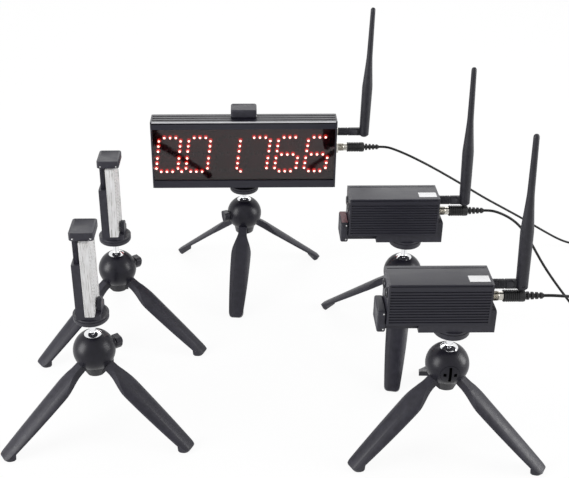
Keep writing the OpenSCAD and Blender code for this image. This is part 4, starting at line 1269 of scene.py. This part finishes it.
def optic_barrel():
    rings = [(-1.5, 3.9), (-1.5, 4.7), (-1.2, 4.95), (18, 4.95), (18.5, 4.6)]
    barrel = turned("optic_barrel", rings, 40)
    open_piece(barrel)
    choose(barrel, "FACE", lambda f: looks(f, z=-1) and len(f.verts) > 20)
    mouth_depth = 1.6
    pull(0, 0, mouth_depth)
    close_piece()
    smooth(barrel, 32)
    return lay_along_x(barrel)


def optic_lens():
    rings = [(0, 3.85), (-0.15, 3.6), (-0.5, 2.8), (-0.8, 1.6), (-0.92, 0.4)]
    lens = turned("optic_lens", rings, 32)
    smooth(lens, 50)
    return lay_along_x(lens)


def laser_circuit():
    box = LASER_CASE
    z, margin = box.bottom + 5.5, 2.5
    board = slab("laser_circuit", (box.left + PLATE_T, box.front + margin, z),
                 (box.right - PLATE_T, box.back - margin, z + BOARD_T))
    post_start, post_end, post_half, post_top = box.left + 6, box.left + 18, 1.5, OPTIC_Z - 5.1
    for y in OPTICS.values():
        weld(board, slab("post", (post_start, y - post_half, z + 1), (post_end, y + post_half, post_top)))
    soften(board, 0.15, 1)
    return board


def make_lasers():
    shell, label, circuit = laser_case(), laser_label(), laser_circuit()
    barrel, lens = optic_barrel(), optic_lens()
    for unit in LASERS:
        at, head, module = stand(unit), unit + "_head", unit + "_module"
        fit(shell, unit + "_ribbed_shell", at, head, "case", "case_black", unit + "_case")
        fit(label, unit + "_blank_label", at, head, "label", "reflector_clear")
        fit(circuit, unit + "_circuit", at, head, "circuit", "board_green", module)
        for word, side in OPTICS.items():
            spot = stand(unit, (LASER_CASE.left, side, OPTIC_Z))
            fit(barrel, f"{unit}_{word}_barrel", spot, head, "screw", "nickel", module)
            fit(lens, f"{unit}_{word}_lens", spot, head, "optic", "smoked_window")
        plates_for(unit, LASER_CASE, [(side, OPTIC_Z, OPTIC_HOLE_R) for side in OPTICS.values()])
    drop(shell, label, circuit, barrel, lens)


# Connectors on the right end plates
def power_jack():
    nut = turned("jack_nut", [(0, 6.7), (0.35, 7.2), (2.6, 7.2), (3, 6.6)], 6)
    smooth(nut, 20)
    rings = [(-6, 4.6), (-6, 4.8), (0.5, 4.8), (3, 4.8)]
    for i in range(8):
        z = 3.2 + i * 0.72
        rings += [(z, 4.85), (z + 0.36, 4.45)]
    rings += [(9.1, 4.8), (9.5, 4.6), (9.5, 3.3)]
    barrel = turned("jack_barrel", rings, 40)
    smooth(barrel, 30)
    return lay_along_x(joined("power_jack", [nut, barrel]))


def plug_collar():
    rings = [(9.55, 3.0), (9.55, 4.2), (9.8, 4.4), (14.2, 4.4)]
    collar = lay_along_x(turned("plug_collar", rings, 40))
    smooth(collar, 30)
    return collar


def plug_grip():
    outer, groove, cord = 6.0, 5.5, 2.2
    rings = [(14, 4.6), (14.1, groove), (14.6, outer)]
    for i in range(7):
        x = 16 + i * 2.0
        rings += [(x, outer), (x + 0.25, groove), (x + 0.95, groove), (x + 1.2, outer)]
    rings += [(33.6, outer), (35, 5.6), (35.5, 4.6)]
    for i in range(4):
        x, r = 36 + i * 4.4, 4.2 - 0.32 * i
        rings += [(x, cord), (x + 0.9, cord), (x + 1.2, r), (x + 3.3, r - 0.1), (x + 3.6, cord)]
    rings += [(RELIEF_END - 0.1, 2.1), (RELIEF_END, 1.7)]
    grip = lay_along_x(turned("plug_grip", rings, 40))
    smooth(grip, 32)
    return grip


def antenna_jack():
    nut = turned("antenna_nut", [(0, 4.3), (0.2, 4.6), (1.8, 4.6), (2, 4.3)], 6)
    smooth(nut, 20)
    stud = turned("antenna_stud", [(-2, 2.95), (9, 2.95)], 32)
    smooth(stud, 30)
    return lay_along_x(joined("antenna_jack", [nut, stud]))


def antenna_base(reach):
    outer, groove, neck, tongue_half = 5.0, 4.7, 4.4, 4.6
    rings = [(2.3, 3.1), (2.3, groove), (2.6, outer)]
    for i in range(6):
        x = 3.4 + i * 1.5
        rings += [(x, outer), (x + 0.3, groove), (x + 0.8, groove), (x + 1.1, outer)]
    end = reach - 9.2
    rings += [(13.4, outer), (13.7, neck), (14.6, neck), (14.9, outer), (end - 0.5, outer), (end, 4.6),
              (end, 3.3), (reach - 7.3, 3.3), (reach - 7.3, 0.5)]
    barrel = lay_along_x(turned("antenna_base", rings, 40))
    tongue = slab("tongue", (end - 1, -2, -tongue_half), (reach, 2, tongue_half))
    knuckle = rod_y("knuckle", tongue_half, reach, 0, -2, 2, 40)
    pin = rod_y("elbow_pin", 1.5, reach, 0, -5.5, 5.5)
    weld(barrel, tongue, knuckle, pin)
    soften(barrel, 0.2, 1, 40)
    return barrel


def antenna_whip():
    elbow_r, room, room_half, far = 7, 5.2, 2.3, 14
    elbow = [(-math.sqrt(elbow_r ** 2 - r * r), r) for r in (0.5, 2, 3.2, 4.2, 5, 5.6, 6.0)]
    rod = [(0, 6.0), (8, 6.02), (28, 6.15), (50, 6.28), (56, 6.3), (60, 6.2), (70, 5.4), (84, 4.3),
           (95, 3.55), (100, 3.4), (140, 2.9), (150, 2.8), (153.2, 2.8), (154.6, 2.4), (155.6, 1.6),
           (156, 0.6)]
    whip = turned("antenna_whip", elbow + rod, 40)
    cuts = [rod_y("tongue_room", room, 0, 0, -room_half, room_half, 48)]
    for x, z in ((0, room), (room, 0)):
        cuts.append(slab("fold_room", (-far, -room_half, -far), (x, room_half, z)))
    cuts.append(rod_y("pin_bore", 1.55, 0, 0, -far, far))
    carve(whip, *cuts)
    soften(whip, 0.25, 2, 38)
    return whip


def make_connectors():
    jack, collar, grip, nut, whip = power_jack(), plug_collar(), plug_grip(), antenna_jack(), antenna_whip()
    for unit in POWERED:
        head, node = unit + "_head", unit + "_connectors"
        foot_body, whip_body = unit + "_antenna_base", unit + "_antenna_whip"
        at = stand(unit, JACK[unit])
        fit(jack, unit + "_power_jack", at, head, "nickel", "nickel", node)
        fit(collar, unit + "_plug_collar", at, head, "nickel", "nickel", node)
        fit(grip, unit + "_plug_grip", at, head, "plug", "lead_black", node)
        x, y, z = stand(unit, ANTENNA[unit])
        fit(nut, unit + "_antenna_nut", (x, y, z), head, "nickel", "nickel", node)
        base = antenna_base(ELBOW_REACH[unit])
        fit(base, unit + "_antenna_foot", (x, y, z), foot_body, "antenna", "antenna_black", foot_body)
        fit(whip, unit + "_antenna_rod", (x + ELBOW_REACH[unit], y, z), whip_body, "antenna", "antenna_black",
            whip_body, turn=(0, WHIP_LEAN[unit], 0))
        drop(base)
    drop(jack, collar, grip, nut, whip)


# Reflectors
def reflector():
    height = GAP["reflector_front"]
    plate = slab("reflector_plate", (-SEAT_X, -REFLECTOR_HALF, REFLECTOR_BOTTOM),
                 (REFLECTOR_FRONT, REFLECTOR_HALF, REFLECTOR_BOTTOM + height))
    open_piece(plate)
    choose(plate, "FACE", lambda f: looks(f, x=1))
    inset(RIM_W)
    inset(RIM_SLOPE, -RIM_DEPTH)
    rim = RIM_W + RIM_SLOPE

    def sunk(face):
        return looks(face, x=1) and middle(face).x < REFLECTOR_FRONT - RIM_DEPTH / 2

    for axis, count, start, span in ((Y, CELLS_ACROSS, rim - REFLECTOR_HALF, 2 * (REFLECTOR_HALF - rim)),
                                     (Z, CELLS_UP, REFLECTOR_BOTTOM + rim, height - 2 * rim)):
        for i in range(1, count):
            choose(plate, "FACE", sunk)
            split(*across(axis, start + span * i / count))
    choose(plate, "FACE", sunk)
    bpy.ops.mesh.poke(offset=CELL_RISE * MM)
    close_piece()
    modify(plate, "BEVEL", width=0.5 * MM, segments=2, limit_method="ANGLE", angle_limit=math.radians(80))
    return plate


def make_reflectors():
    plate = reflector()
    for unit in REFLECTORS:
        fit(plate, unit + "_prism_plate", stand(unit), unit + "_head", "prism", "reflector_clear",
            unit + "_plate")
    drop(plate)


# Studio: white surroundings, pale floor, soft boxes
def white_to_camera(tree):
    rays = tree.nodes.new("ShaderNodeLightPath")
    total = rays.outputs["Is Camera Ray"]
    for ray in ("Is Glossy Ray", "Is Transmission Ray"):
        add = tree.nodes.new("ShaderNodeMath")
        add.operation = "MAXIMUM"
        tree.links.new(total, add.inputs[0])
        tree.links.new(rays.outputs[ray], add.inputs[1])
        total = add.outputs[0]
    return total


def mix_in(tree, share, plain, white, output):
    mix = tree.nodes.new("ShaderNodeMixShader")
    tree.links.new(share, mix.inputs["Fac"])
    tree.links.new(plain, mix.inputs[1])
    tree.links.new(white, mix.inputs[2])
    tree.links.new(mix.outputs["Shader"], tree.nodes[output].inputs["Surface"])


def make_surroundings():
    world = bpy.data.worlds.new("studio")
    world.use_nodes = True
    bpy.context.scene.world = world
    tree = world.node_tree
    soft = tree.nodes["Background"]
    white = tree.nodes.new("ShaderNodeBackground")
    for light, strength in ((soft, WORLD_LIGHT), (white, 1.0)):
        light.inputs["Color"].default_value = (1, 1, 1, 1)
        light.inputs["Strength"].default_value = strength
    mix_in(tree, white_to_camera(tree), soft.outputs["Background"], white.outputs["Background"],
           "World Output")


def make_floor():
    bpy.ops.object.select_all(action="DESELECT")
    bpy.ops.mesh.primitive_plane_add(size=FLOOR_SIZE, location=(0, 0, 0))
    floor = settle("floor")
    paint = bpy.data.materials.new("floor_white")
    paint.use_nodes = True
    tree = paint.node_tree
    matt = tree.nodes["Principled BSDF"]
    matt.inputs["Base Color"].default_value = (0.9, 0.9, 0.9, 1)
    matt.inputs["Roughness"].default_value = 0.9
    matt.inputs["Specular IOR Level"].default_value = 0.1
    glow = tree.nodes.new("ShaderNodeEmission")
    glow.inputs["Strength"].default_value = 1.0
    part = tree.nodes.new("ShaderNodeMath")
    part.operation = "MULTIPLY"
    part.inputs[1].default_value = FLOOR_WHITE
    tree.links.new(white_to_camera(tree), part.inputs[0])
    mix_in(tree, part.outputs[0], matt.outputs["BSDF"], glow.outputs["Emission"], "Material Output")
    floor.data.materials.append(paint)


def make_lights():
    for name, (at, size, power) in SOFT_BOXES.items():
        light = bpy.data.lights.new(name, "AREA")
        light.shape = "RECTANGLE"
        light.size, light.size_y = size
        light.energy = power
        soft_box = bpy.data.objects.new(name, light)
        bpy.context.scene.collection.objects.link(soft_box)
        soft_box.location = at
        soft_box.rotation_euler = (BOX_AIM - Vector(at)).to_track_quat("-Z", "Y").to_euler()


set_camera()
FINISHES = make_finishes()
make_leads()
make_tripods()
make_clamps()
make_display()
make_lasers()
make_connectors()
make_reflectors()
make_surroundings()
make_floor()
make_lights()
bpy.context.scene.view_settings.view_transform = "Standard"
